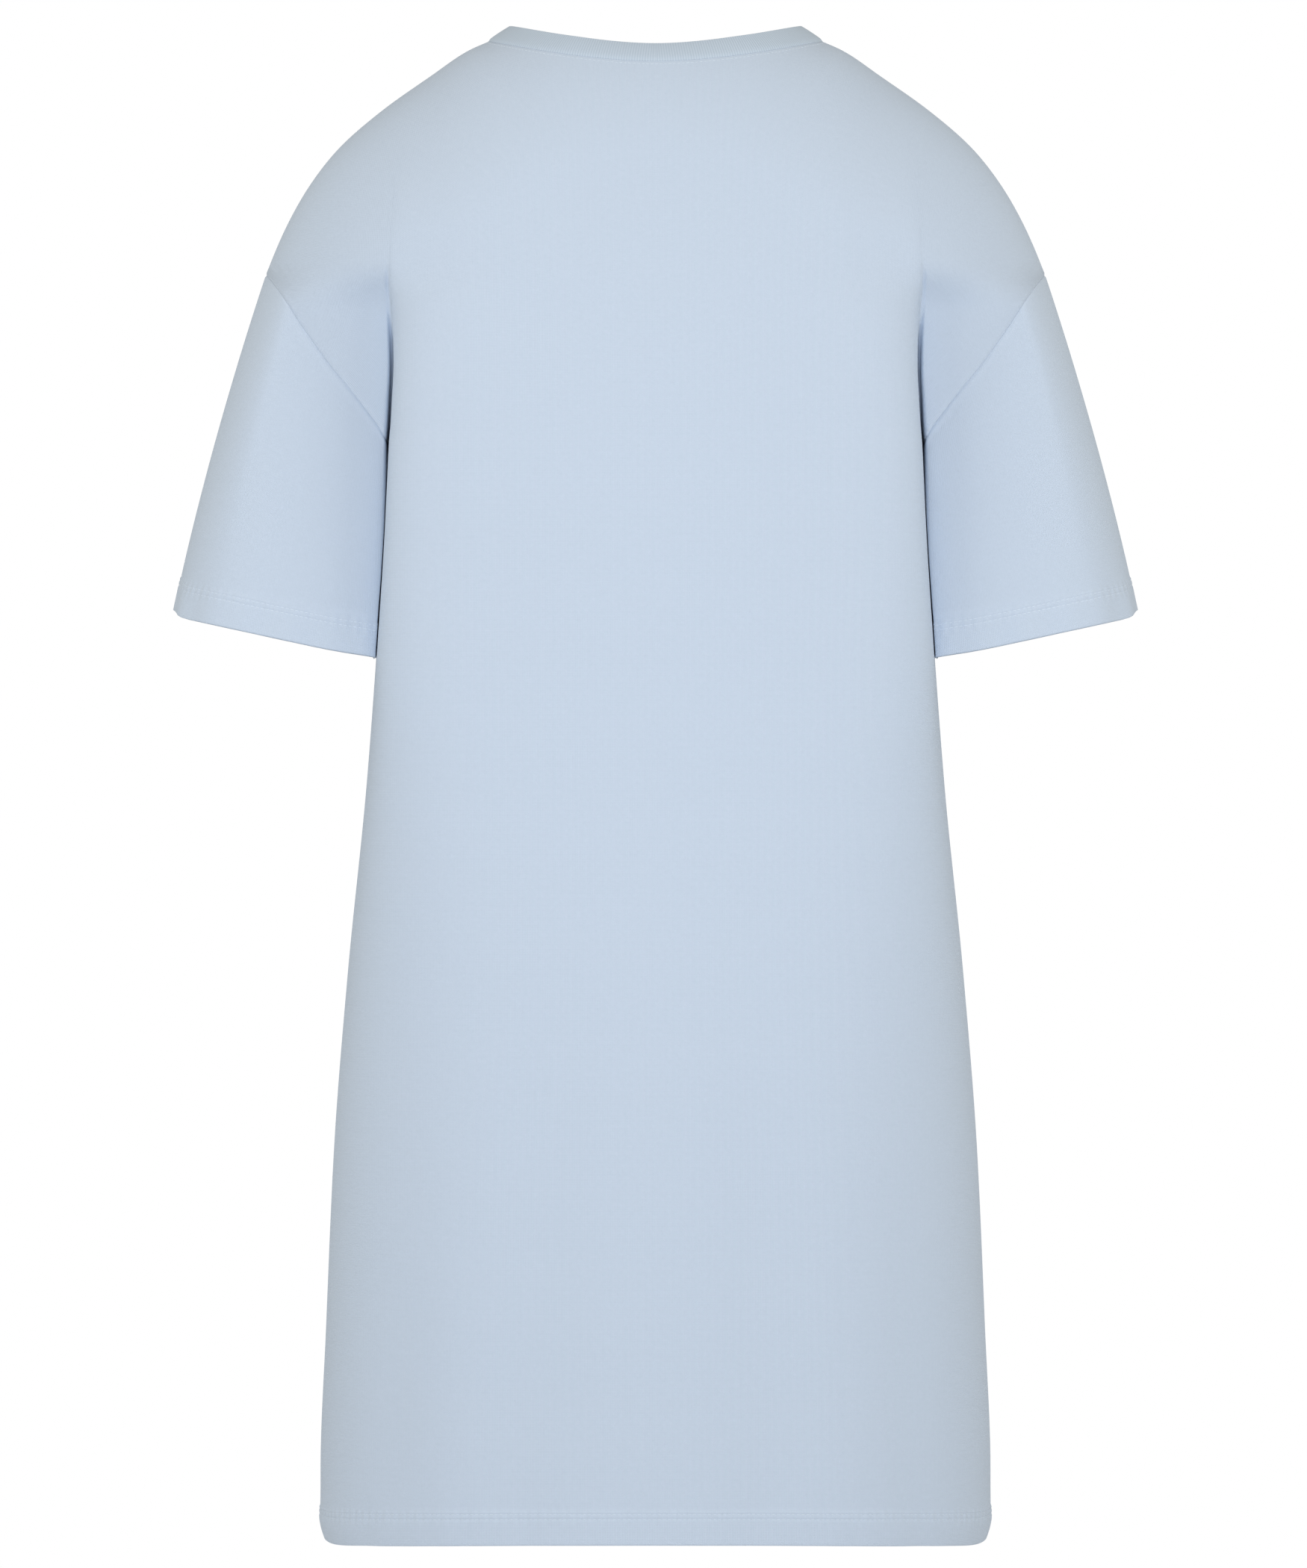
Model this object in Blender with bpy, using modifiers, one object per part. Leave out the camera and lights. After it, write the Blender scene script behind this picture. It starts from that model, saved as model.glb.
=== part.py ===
"""Short-sleeved jersey nightshirt with a round neck and dropped shoulders.

The garment keeps the form it has when it is worn, with nobody in it. It is cut as a front, a
back, two sleeves and a neckband, and each is a thin wall of cloth. Its front faces -Y and its
back faces +Y. The origin lies in the neck opening, between the neck ends of the shoulder seams.
Sizes are in metres.
"""

import math
from typing import NamedTuple

import bmesh
import bpy
import numpy as np

# Driving dimensions
CLOTH_WALL = 0.0013
BAND_WALL = 0.0020
SEAM_GAP = 0.0003
UNDERARM_CLEARANCE = 0.0004
NECK_HALF_WIDTH = 0.1008
BACK_NECK_HEIGHT = -0.0117
FRONT_NECK_HEIGHT = -0.0680
BAND_WIDTH = 0.0163
BAND_ROLL = 0.0008
UNDERARM_HEIGHT = -0.2420
FOLD_TOP_HEIGHT = -0.1330
ARM_DEPTH = 0.0600
CUFF_OUTER = (0.2900, -0.3425)
CUFF_INNER = (0.1694, -0.3698)
CUFF_HALF_DEPTH = 0.0600
CUFF_FORWARD = 0.0050
CUFF_OUTER_SQUARE = 2.2
CUFF_INNER_SQUARE = 4.6
SLEEVE_BULGE = 0.0030
HEM_LIFT_AT_SIDE = 0.0030
HEM_LIFT_AT_BACK = 0.0025

# How the forms blend into each other
BACK_NECK_CURVE = 1.75
FRONT_NECK_CURVE = 2.3
HEM_LIFT_RISE = 6
HEM_LIFT_NARROWNESS = 24
BODY_REACH = 0.1666
BODY_FALL = 3.5
FOLD_EDGE_START = 0.028
FOLD_SOFTNESS = 0.003
CAP_INNER_ROUND = 0.017
CAP_INNER_SQUARE = 3.0
UNDERARM_ROUND = 0.028
DEEPEST_EDGE = 0.75
COLUMN_SHIFT = 0.85
MOST_SHIFT_POWER = 6
SLEEVE_START = 0.00042

# Fineness of the surfaces
SECTION_TURNS = (0, 6.5, 13, 19.5, 26, 32, 37, 41, 44, 47, 50.5, 55, 61, 69.5, 79.5, 90)
NECK_COLUMNS = 8
UPPER_ROWS = 13
ROW_CROWDING_TOP = 1.25
ROW_CROWDING_BOTTOM = 1.7
TOP_SUPPORT = 0.002
UNDERARM_SUPPORT = 0.985
CAP_COLUMNS = (0.0, 0.03, 0.12, 0.27, 0.48, 0.74, 0.96, 1.0)
SLEEVE_ROWS = (0.0, 0.015, 0.10, 0.26, 0.44, 0.62, 0.80, 0.93, 1.0)
BAND_ROWS = (0.0, 0.5, 1.0)
RIDGE_SAMPLES = 800


class TorsoSection(NamedTuple):
    """One level section of the body below the underarm."""

    height: float
    half_width: float
    back: float
    front: float
    square: float


TORSO = (
    TorsoSection(-0.9032, 0.1985, 0.1350, 0.1400, 2.50),
    TorsoSection(-0.8960, 0.2007, 0.1349, 0.1399, 2.50),
    TorsoSection(-0.8890, 0.2018, 0.1348, 0.1398, 2.50),
    TorsoSection(-0.8600, 0.2018, 0.1344, 0.1394, 2.50),
    TorsoSection(-0.7740, 0.1985, 0.1330, 0.1382, 2.52),
    TorsoSection(-0.6660, 0.1937, 0.1300, 0.1368, 2.56),
    TorsoSection(-0.5580, 0.1852, 0.1255, 0.1352, 2.64),
    TorsoSection(-0.4500, 0.1742, 0.1205, 0.1338, 2.85),
    TorsoSection(-0.3694, 0.1678, 0.1187, 0.1334, 3.60),
    TorsoSection(-0.3000, 0.1630, 0.1181, 0.1331, 5.00),
    TorsoSection(-0.2420, 0.1602, 0.1170, 0.1312, 5.60),
)


class ChestLevel(NamedTuple):
    """How far the middle of the back and of the front lie from the shoulder line."""

    height: float
    back: float
    front: float


CHEST = (
    ChestLevel(-0.1900, 0.1138, 0.1250),
    ChestLevel(-0.1400, 0.1070, 0.1145),
    ChestLevel(-0.0900, 0.0965, 0.1005),
    ChestLevel(-0.0400, 0.0845, 0.0870),
    ChestLevel(0.0300, 0.0760, 0.0780),
)


class Outline(NamedTuple):
    """A point of the shoulder line and the sleeve's outer line, seen from behind."""

    half_width: float
    height: float
    round_over: float


# The first rows close the shoulder line over the neck opening, where there is no cloth.
SHOULDER = (
    Outline(0.0000, 0.0265, 0.090),
    Outline(0.0600, 0.0180, 0.090),
    Outline(0.1008, 0.0022, 0.090),
    Outline(0.1134, -0.0032, 0.090),
    Outline(0.1352, -0.0180, 0.090),
    Outline(0.1658, -0.0405, 0.086),
    Outline(0.1913, -0.0630, 0.076),
    Outline(0.2088, -0.0855, 0.067),
    Outline(0.2216, -0.1080, 0.062),
    Outline(0.2315, -0.1305, 0.060),
    Outline(0.2435, -0.1643, 0.060),
    Outline(0.2563, -0.2093, 0.060),
    Outline(0.2761, -0.2768, 0.060),
    Outline(0.2902, -0.3350, 0.060),
)


class Seam(NamedTuple):
    """A point of a seam or fold line, seen from behind."""

    half_width: float
    height: float


ARMHOLE = (
    Seam(0.2346, -0.1386),
    Seam(0.2260, -0.1496),
    Seam(0.2118, -0.1712),
    Seam(0.1950, -0.1945),
    Seam(0.1830, -0.2090),
    Seam(0.1720, -0.2233),
    Seam(0.1660, -0.2330),
    Seam(0.1619, -0.2420),
)


class FoldStation(NamedTuple):
    """The underarm fold: the body's edge along it, its width and what depth its bottom keeps."""

    height: float
    half_width: float
    opening: float
    left: float
    square: float


UNDERARM_FOLD = (
    FoldStation(-0.2420, 0.1602, 0.0017, 0.00, 5.6),
    FoldStation(-0.2390, 0.1600, 0.0017, 0.16, 5.6),
    FoldStation(-0.2300, 0.1592, 0.0019, 0.30, 5.6),
    FoldStation(-0.2160, 0.1584, 0.0022, 0.42, 5.6),
    FoldStation(-0.1930, 0.1574, 0.0026, 0.58, 5.4),
    FoldStation(-0.1700, 0.1578, 0.0030, 0.73, 4.8),
    FoldStation(-0.1500, 0.1590, 0.0034, 0.88, 4.0),
    FoldStation(-0.1330, 0.1598, 0.0038, 1.00, 3.5),
    FoldStation(-0.0900, 0.1590, 0.0042, 1.00, 3.5),
    FoldStation(-0.0300, 0.1545, 0.0044, 1.00, 3.5),
)


class Drape(NamedTuple):
    """A soft upright trough in the hanging cloth, deepest at the hem."""

    face: int
    top_x: float
    hem_x: float
    top_height: float
    full_height: float
    depth: float
    half_width: float


BACK, FRONT = 1, -1
DRAPES = (
    Drape(BACK, 0.052, 0.084, -0.470, -0.760, 0.0042, 0.030),
    Drape(BACK, -0.046, -0.073, -0.450, -0.740, 0.0038, 0.028),
    Drape(BACK, 0.150, 0.158, -0.620, -0.840, 0.0022, 0.017),
    Drape(BACK, -0.146, -0.154, -0.600, -0.830, 0.0020, 0.016),
    Drape(FRONT, 0.018, 0.008, -0.360, -0.760, 0.0050, 0.032),
    Drape(FRONT, 0.098, 0.116, -0.330, -0.740, 0.0044, 0.028),
    Drape(FRONT, -0.094, -0.108, -0.350, -0.780, 0.0048, 0.027),
)

BODY_LEVELS = (
    -0.9032, -0.8960, -0.8700, -0.8240, -0.7740, -0.7220, -0.6660, -0.6100,
    -0.5560, -0.5020, -0.4480, -0.3960, -0.3480, -0.3080, -0.2740,
)


def smooth(knots, values, at):
    """The smooth curve through a table's rows that never overshoots them."""
    knots = np.asarray(knots, float)
    values = np.asarray(values, float)
    if knots[0] > knots[-1]:
        knots, values = knots[::-1], values[::-1]
    steps = np.diff(knots)
    slopes = np.diff(values) / steps
    same_way = slopes[1:] * slopes[:-1] > 0
    total = np.where(same_way, slopes[1:] + slopes[:-1], 1.0)
    inner = np.where(same_way, 2 * slopes[1:] * slopes[:-1] / total, 0.0)
    tangents = np.concatenate([slopes[:1], inner, slopes[-1:]])
    at = np.clip(at, knots[0], knots[-1])
    i = np.clip(np.searchsorted(knots, at) - 1, 0, len(steps) - 1)
    t = (at - knots[i]) / steps[i]
    return (
        (2 * t**3 - 3 * t**2 + 1) * values[i]
        + (t**3 - 2 * t**2 + t) * steps[i] * tangents[i]
        + (3 * t**2 - 2 * t**3) * values[i + 1]
        + (t**3 - t**2) * steps[i] * tangents[i + 1]
    )


def column(table, name):
    return [getattr(row, name) for row in table]


def curve_through(table, at, *names):
    """Points along a table's rows, by their share of its straight-line length from row to row."""
    rows = np.stack([column(table, "half_width"), column(table, "height")], -1)
    run = np.concatenate([[0], np.cumsum(np.linalg.norm(np.diff(rows, axis=0), axis=1))])
    return [smooth(run / run[-1], column(table, name), at) for name in names]


def ease(share):
    """A gentle start and stop between 0 and 1."""
    share = np.clip(share, 0, 1)
    return share**2 * (3 - 2 * share)


def arch(share):
    """A rise from 0 to 1 half way along and back to 0."""
    return 4 * share * (1 - share)


def superellipse(share, square):
    return np.clip(1 - np.abs(share) ** square, 0, 1) ** (1 / square)


def quarter_round(share):
    return np.sqrt(1 - (1 - np.clip(share, 0, 1)) ** 2)


RIDGE = np.stack(curve_through(SHOULDER, np.linspace(0, 1, RIDGE_SAMPLES), "half_width", "height"), -1)
RIDGE_ROUND = curve_through(SHOULDER, np.linspace(0, 1, RIDGE_SAMPLES), "round_over")[0]


def ridge_height(x):
    return np.interp(np.abs(x), RIDGE[:, 0], RIDGE[:, 1])


def ridge_share(x, z):
    """How far a point lies inside the shoulder line, as a share of the round-over there."""
    points = np.stack([np.abs(x), z], -1)[..., None, :]
    starts, runs = RIDGE[:-1], np.diff(RIDGE, axis=0)
    along = ((points - starts) * runs).sum(-1) / (runs**2).sum(-1)
    feet = starts + np.clip(along, 0, 1)[..., None] * runs
    gaps = np.linalg.norm(points - feet, axis=-1)
    nearest = gaps.argmin(-1)
    return gaps.min(-1) / RIDGE_ROUND[nearest]


def plateau(z, face):
    """How far the middle of the back or front stands out at a height."""
    name = "back" if face == BACK else "front"
    return smooth(column(TORSO + CHEST, "height"), column(TORSO + CHEST, name), z)


def open_depth(x, z, face):
    """Depth of the cloth over the chest, shoulder and upper arm with no underarm fold."""
    body = np.exp(-((np.abs(x) / BODY_REACH) ** BODY_FALL))
    flat = ARM_DEPTH + (plateau(z, face) - ARM_DEPTH) * body
    return flat * quarter_round(ridge_share(x, z))


def fold(name, z):
    return smooth(column(UNDERARM_FOLD, "height"), column(UNDERARM_FOLD, name), z)


def torso_half_width(z):
    below = smooth(column(TORSO, "height"), column(TORSO, "half_width"), z)
    return np.where(z > UNDERARM_HEIGHT, fold("half_width", z), below)


def torso_square(z):
    below = smooth(column(TORSO, "height"), column(TORSO, "square"), z)
    return np.where(z > UNDERARM_HEIGHT, fold("square", z), below)


def drape(x, z, face):
    """How far the soft troughs pull the cloth in."""
    total = np.zeros(np.broadcast(x, z).shape)
    for row in DRAPES:
        if row.face != face:
            continue
        grown = ease((row.top_height - z) / (row.top_height - row.full_height))
        down = np.clip((row.top_height - z) / (row.top_height - TORSO[0].height), 0, 1)
        middle = row.top_x + (row.hem_x - row.top_x) * down
        total += row.depth * grown * np.exp(-(((x - middle) / row.half_width) ** 2))
    return total


def fold_started(z):
    """0 above the underarm fold's top, and 1 from where the cloth stands clear of the fold."""
    return ease((FOLD_TOP_HEIGHT - z) / FOLD_EDGE_START)


def above_fold(standing, z, open_cloth):
    """Joins cloth that stands clear of the underarm fold with the cloth at the fold's bottom."""
    left = fold("left", z)
    high = open_cloth + (standing - open_cloth) * fold_started(z)
    low = left * open_cloth
    return (high + low + np.hypot(high - low, FOLD_SOFTNESS * arch(left))) / 2


def section_point(turn, square):
    """The point of a superellipse of unit size in a direction, turned from the middle."""
    reach = (np.abs(np.sin(turn)) ** square + np.abs(np.cos(turn)) ** square) ** (-1 / square)
    return reach * np.sin(turn), reach * np.cos(turn)


def drawn_in(turns, last):
    """Brings the outermost column to another turn, and moves the columns inside it little."""
    cut = 1 - last / turns[-1]
    power = np.clip(COLUMN_SHIFT / np.maximum(cut, COLUMN_SHIFT / MOST_SHIFT_POWER), 1, None)
    return turns * (1 - cut * (turns / turns[-1]) ** (power - 1))


def cap_depth(x, z, face):
    """Depth of the dropped shoulder, between the underarm fold and the armhole seam."""
    from_fold = np.abs(x) - torso_half_width(z) - fold("opening", z)
    from_underarm = np.hypot(np.abs(x) - ARMHOLE[-1].half_width, z - UNDERARM_HEIGHT)
    inner = superellipse(1 - np.clip(from_fold / CAP_INNER_ROUND, 0, 1), CAP_INNER_SQUARE)
    standing = ARM_DEPTH * inner * quarter_round(from_underarm / UNDERARM_ROUND)
    return above_fold(standing, z, open_depth(x, z, face))


def neck_height(x, face):
    """Height of the seam that joins the neckband to the body."""
    side = ridge_height(NECK_HALF_WIDTH)
    share = np.clip(np.abs(x) / NECK_HALF_WIDTH, 0, 1)
    if face == BACK:
        return BACK_NECK_HEIGHT + (side - BACK_NECK_HEIGHT) * share**BACK_NECK_CURVE
    return FRONT_NECK_HEIGHT + (side - FRONT_NECK_HEIGHT) * share**FRONT_NECK_CURVE


def row_shares():
    """Drops from the shoulder line to the underarm, close together at both ends."""
    steps = (np.arange(1, UPPER_ROWS) / UPPER_ROWS) ** ROW_CROWDING_BOTTOM
    return np.concatenate([[0, TOP_SUPPORT], 1 - (1 - steps) ** ROW_CROWDING_TOP, [UNDERARM_SUPPORT, 1]])


def hem_height(x, z, face):
    """Lifts the hem a little at the side seams and over the middle of the back."""
    down = np.clip((z - UNDERARM_HEIGHT) / (TORSO[0].height - UNDERARM_HEIGHT), 0, 1)
    share = np.abs(x) / torso_half_width(z)
    middle = HEM_LIFT_AT_BACK * (1 - share**2) if face == BACK else 0.0
    return z + down**HEM_LIFT_RISE * (HEM_LIFT_AT_SIDE * share**HEM_LIFT_NARROWNESS + middle)


def torso_grid(face, side):
    """Rows from the hem to the neck and shoulder seams, and columns from the middle to one side."""
    turns = np.radians(SECTION_TURNS)
    levels = np.asarray(BODY_LEVELS)[:, None] + 0 * turns
    out, deep = section_point(turns, torso_square(levels))
    lower_x = side * out * torso_half_width(levels)
    lower_y = deep * (plateau(levels, face) - drape(lower_x, levels, face))

    neck = NECK_HALF_WIDTH * np.sin(math.pi / 2 * np.arange(NECK_COLUMNS + 1) / NECK_COLUMNS)
    fold_top = UNDERARM_FOLD[-1].half_width
    shoulder = np.linspace(NECK_HALF_WIDTH, fold_top, len(turns) - NECK_COLUMNS)[1:]
    top_x = np.concatenate([neck, shoulder])
    top_z = np.where(top_x < NECK_HALF_WIDTH, neck_height(top_x, face), ridge_height(top_x))
    z = top_z - row_shares()[::-1, None] * (top_z - UNDERARM_HEIGHT)
    edge = torso_half_width(z)
    square = torso_square(z)
    bottom = fold("left", z) * open_depth(edge, z, face) / plateau(z, face)
    bottom = np.clip(bottom, 0, DEEPEST_EDGE)
    last = np.arctan2(superellipse(bottom, square), bottom)
    out, deep = section_point(drawn_in(turns, last), square)
    x = edge * out / superellipse(bottom, square)
    x = x + (top_x - x) * ease((z - FOLD_TOP_HEIGHT) / (top_z - FOLD_TOP_HEIGHT))
    standing = deep * plateau(z, face)
    y = above_fold(standing, z, open_depth(x, z, face))
    y[-1, NECK_COLUMNS:] = 0
    y[0, -1] = UNDERARM_CLEARANCE

    x = np.concatenate([lower_x, side * x])
    y = np.concatenate([lower_y, y])
    z = np.concatenate([hem_height(lower_x, levels, face), z])
    return np.stack([x, face * (y + SEAM_GAP / 2), z], -1)


def cap_grid(face, side, fold_edge):
    """The dropped shoulder: rows from the underarm to the shoulder, out to the armhole seam."""
    drops = row_shares()[::-1]
    inner_x = np.abs(fold_edge[:, 0]) + fold("opening", fold_edge[:, 2])
    inner_top = ridge_height(inner_x[-1])
    inner = np.stack([inner_x, inner_top - drops * (inner_top - UNDERARM_HEIGHT)], -1)
    outer = np.stack(curve_through(ARMHOLE, drops, "half_width", "height"), -1)
    across = np.asarray(CAP_COLUMNS)[:, None]
    flat = inner[:, None] * (1 - across) + outer[:, None] * across
    run = np.linspace(0, 1, RIDGE_SAMPLES)
    start, end = (np.interp(point[0], RIDGE[:, 0], run) for point in (inner[-1], outer[-1]))
    on_ridge = start + (end - start) * across[:, 0]
    ridge = np.stack([np.interp(on_ridge, run, RIDGE[:, i]) for i in (0, 1)], -1)
    flat = flat + ((1 - drops) ** 2)[:, None, None] * (ridge - flat[-1])
    y = cap_depth(flat[..., 0], flat[..., 1], face)
    y[-1] = 0
    fold_bottom = np.abs(fold_edge[:, 1]) - SEAM_GAP / 2
    y[:, 0] += (fold_bottom - y[:, 0]) * fold_started(inner[:, 1])
    return np.stack([side * flat[..., 0], face * (y + SEAM_GAP / 2), flat[..., 1]], -1)


def armhole_ring(side):
    """The armhole seam, from the shoulder tip down the back to the underarm and up the front."""
    drops = row_shares()
    x, z = curve_through(ARMHOLE, drops, "half_width", "height")
    halves = []
    for face in (BACK, FRONT):
        y = cap_depth(x, z, face)
        y[0] = 0
        halves.append(np.stack([side * x, face * y, z], -1))
    return np.concatenate([halves[0], halves[1][-2:0:-1]])


def cuff_ring(side, turns):
    """The sleeve's open end, a rounded ring in a plane square to the sleeve."""
    outer, inner = np.asarray(CUFF_OUTER), np.asarray(CUFF_INNER)
    middle, reach = (outer + inner) / 2, (outer - inner) / 2
    inner_share = (1 - np.cos(turns)) / 2
    square = CUFF_OUTER_SQUARE + (CUFF_INNER_SQUARE - CUFF_OUTER_SQUARE) * inner_share
    sideways, across = section_point(turns, square)
    along = across[:, None] * reach + middle
    y = CUFF_HALF_DEPTH * sideways - CUFF_FORWARD
    return np.stack([side * along[:, 0], y, along[:, 1]], -1)


def sleeve_grid(side):
    """Rows of points round the sleeve, from the armhole seam to the cuff."""
    ring = armhole_ring(side)
    steps = np.linalg.norm(np.roll(ring, -1, axis=0) - ring, axis=1)
    run = np.concatenate([[0], np.cumsum(steps)[:-1]])
    half = len(ring) // 2
    back = np.pi * run[: half + 1] / run[half]
    front = np.pi + np.pi * (run[half + 1 :] - run[half]) / (steps.sum() - run[half])
    turns = np.concatenate([back, front])
    cuff = cuff_ring(side, turns)
    start = SLEEVE_START / np.linalg.norm(cuff - ring, axis=1)[:, None]
    rows = []
    for share in SLEEVE_ROWS:
        down = start + (1 - start) * share
        row = ring + (cuff - ring) * down
        row[:, 0] += side * SLEEVE_BULGE * arch(down[:, 0]) * (1 + np.cos(turns)) / 2
        rows.append(row)
    return np.array(rows)


def neck_ring():
    """The seam between body and neckband, once round, from the middle of the back."""
    quarter = NECK_HALF_WIDTH * np.sin(math.pi / 2 * np.arange(NECK_COLUMNS + 1) / NECK_COLUMNS)
    halves = []
    for face in (BACK, FRONT):
        z = np.array(neck_height(quarter, face))
        y = open_depth(quarter, z, face) + SEAM_GAP / 2
        y[-1] = 0
        halves.append(np.stack([quarter, face * y, z], -1))
    plus = np.concatenate([halves[0], halves[1][-2::-1]])
    minus = plus[-2:0:-1] * (-1, 1, 1)
    return np.concatenate([plus, minus])


def band_rows():
    """The neckband's rows: it leans in towards the neck as it rises from its seam."""
    ring = neck_ring()
    tangent = np.roll(ring, -1, axis=0) - np.roll(ring, 1, axis=0)
    tangent /= np.linalg.norm(tangent, axis=1)[:, None]
    inward = -ring * (1, 1, 0)
    inward /= np.linalg.norm(inward, axis=1)[:, None]
    lean = inward + (0, 0, 1)
    lean -= (lean * tangent).sum(1)[:, None] * tangent
    lean /= np.linalg.norm(lean, axis=1)[:, None]
    outward = np.cross(lean, tangent)
    outward *= np.sign((outward * -inward).sum(1))[:, None]
    rows = []
    for share in BAND_ROWS:
        rise = SEAM_GAP + (BAND_WIDTH - SEAM_GAP) * share
        rows.append(ring + lean * rise + outward * BAND_ROLL * arch(share))
    return np.array(rows)


def quads(grid):
    """The faces between neighbouring rows and columns of a grid of point numbers."""
    found = []
    for low, high in zip(grid[:-1], grid[1:]):
        for i in range(len(low) - 1):
            found.append([low[i], low[i + 1], high[i + 1], high[i]])
    return found


def cloth_object(name, points, faces, wall, finish, collection):
    """An open surface of cloth, given its thickness inwards by Solidify."""
    shape = bmesh.new()
    corners = [shape.verts.new(point) for point in points]
    for face in faces:
        ring = list(dict.fromkeys(face))
        if len(ring) > 2:
            shape.faces.new([corners[i] for i in ring])
    unused = [corner for corner in shape.verts if not corner.link_faces]
    bmesh.ops.delete(shape, geom=unused, context="VERTS")
    mesh = bpy.data.meshes.new(name)
    shape.to_mesh(mesh)
    shape.free()
    mesh.shade_smooth()
    mesh.materials.append(finish)
    made = bpy.data.objects.new(name, mesh)
    collection.objects.link(made)
    cloth = made.modifiers.new("cloth thickness", "SOLIDIFY")
    cloth.thickness = wall
    cloth.offset = -1
    return made


def body_panel(name, face, finish, collection):
    """The front or the back, from one side seam across to the other."""
    points, faces, middle = [], [], []

    def add(point):
        points.append(tuple(point))
        return len(points) - 1

    lower = len(BODY_LEVELS)
    for side in (1, -1):
        torso = torso_grid(face, side)
        middle = middle or [add(row[0]) for row in torso]
        numbers = [[middle[i]] + [add(point) for point in row[1:]] for i, row in enumerate(torso)]
        cap = cap_grid(face, side, torso[lower:, -1])
        underarm = add(cap[0, 0])
        cap_numbers = [[numbers[lower][-1]] + [underarm] * cap.shape[1]]
        for row, edge in zip(cap[1:], numbers[lower + 1 :]):
            cap_numbers.append([edge[-1]] + [add(point) for point in row])
        winding = 1 if side * face == -1 else -1
        for quad in quads(numbers) + quads(cap_numbers):
            faces.append(quad[::winding])
    return cloth_object(name, points, faces, CLOTH_WALL, finish, collection)


def tube_object(name, rows, winding, wall, finish, collection):
    """A tube of cloth through rings of points, open at both ends."""
    count = rows.shape[1]
    points = rows.reshape(-1, 3)
    numbers = [[i * count + j % count for j in range(count + 1)] for i in range(len(rows))]
    faces = [quad[::winding] for quad in quads(numbers)]
    return cloth_object(name, points, faces, wall, finish, collection)


def cloth_finish(name, colour, roughness):
    finish = bpy.data.materials.new(name)
    finish.use_nodes = True
    shader = finish.node_tree.nodes["Principled BSDF"]
    shader.inputs["Base Color"].default_value = (*colour, 1)
    shader.inputs["Roughness"].default_value = roughness
    shader.inputs["Metallic"].default_value = 0.0
    return finish


def main():
    for old in list(bpy.data.objects):
        bpy.data.objects.remove(old)
    collection = bpy.data.collections.new("nightshirt")
    bpy.context.scene.collection.children.link(collection)
    jersey = cloth_finish("pale blue jersey", (0.53, 0.64, 0.75), 0.9)
    rib = cloth_finish("pale blue rib", (0.50, 0.61, 0.72), 0.9)
    body_panel("back", BACK, jersey, collection)
    body_panel("front", FRONT, jersey, collection)
    for name, side in (("sleeve_left", 1), ("sleeve_right", -1)):
        tube_object(name, sleeve_grid(side), side, CLOTH_WALL, jersey, collection)
    tube_object("neckband", band_rows(), 1, BAND_WALL, rib, collection)


main()
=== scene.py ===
"""Looks of a short-sleeved jersey nightshirt that keeps its worn form with nobody in it.

Each cloth piece is a thin shell on the form of its solid: back, front, two sleeves and a ribbed
neckband, with turned-up hems, seams that sink in and twin-needle stitching. Its front faces -Y,
its back faces +Y and +Z is up. Sizes are in metres.
"""

import logging
import math
from dataclasses import dataclass, field
from enum import Enum
from typing import NamedTuple

import bpy
import numpy as np
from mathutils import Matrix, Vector


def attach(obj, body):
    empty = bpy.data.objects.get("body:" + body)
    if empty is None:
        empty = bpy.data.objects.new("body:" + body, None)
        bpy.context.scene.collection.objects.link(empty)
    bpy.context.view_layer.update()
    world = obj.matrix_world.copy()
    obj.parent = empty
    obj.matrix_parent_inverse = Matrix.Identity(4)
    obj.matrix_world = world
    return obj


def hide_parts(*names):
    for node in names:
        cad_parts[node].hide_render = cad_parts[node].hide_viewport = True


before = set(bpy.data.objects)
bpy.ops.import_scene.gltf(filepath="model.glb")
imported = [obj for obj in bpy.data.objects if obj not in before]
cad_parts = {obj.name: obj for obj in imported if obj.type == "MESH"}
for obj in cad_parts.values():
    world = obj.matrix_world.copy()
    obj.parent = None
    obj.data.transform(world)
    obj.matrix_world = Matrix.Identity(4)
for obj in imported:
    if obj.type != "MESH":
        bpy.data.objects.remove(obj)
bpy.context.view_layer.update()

log = logging.getLogger("nightshirt")
Array = np.ndarray

BODY = "root"
UV_NAME = "cloth metres"
WELD = 0.00001
CLOTH_WALL = 0.0007
SEAM_GAP = 0.0001
# The small step over which a slope is measured.
NUDGE = 0.0004
CLOTH_SPECULAR = 0.25
# A Wave Texture of this scale over a pitch repeats once in that pitch.
WAVE_SCALE = math.pi / 10


class Face(Enum):
    """The two sides of the body. The value is the side's direction along Y."""

    BACK = 1
    FRONT = -1


class Side(Enum):
    """The wearer's sides. The value is the side's direction along X."""

    LEFT = 1
    RIGHT = -1


class Slot(Enum):
    """The record's material slots."""

    JERSEY = "pale blue jersey"
    RIB = "pale blue rib"


def ease(share: Array) -> Array:
    """Returns a gentle start and stop between 0 and 1."""
    share = np.clip(share, 0, 1)
    return share**2 * (3 - 2 * share)


def arch(share: Array) -> Array:
    """Returns a rise from 0 to 1 half way along and back to 0."""
    return 4 * share * (1 - share)


def superellipse(share: Array, square: Array) -> Array:
    """Returns the height of a unit superellipse at a share of its half width."""
    return np.clip(1 - np.abs(share) ** square, 0, 1) ** (1 / square)


def quarter_round(share: Array) -> Array:
    """Returns the height of a unit quarter circle at a share of its radius."""
    return np.sqrt(1 - (1 - np.clip(share, 0, 1)) ** 2)


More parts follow.
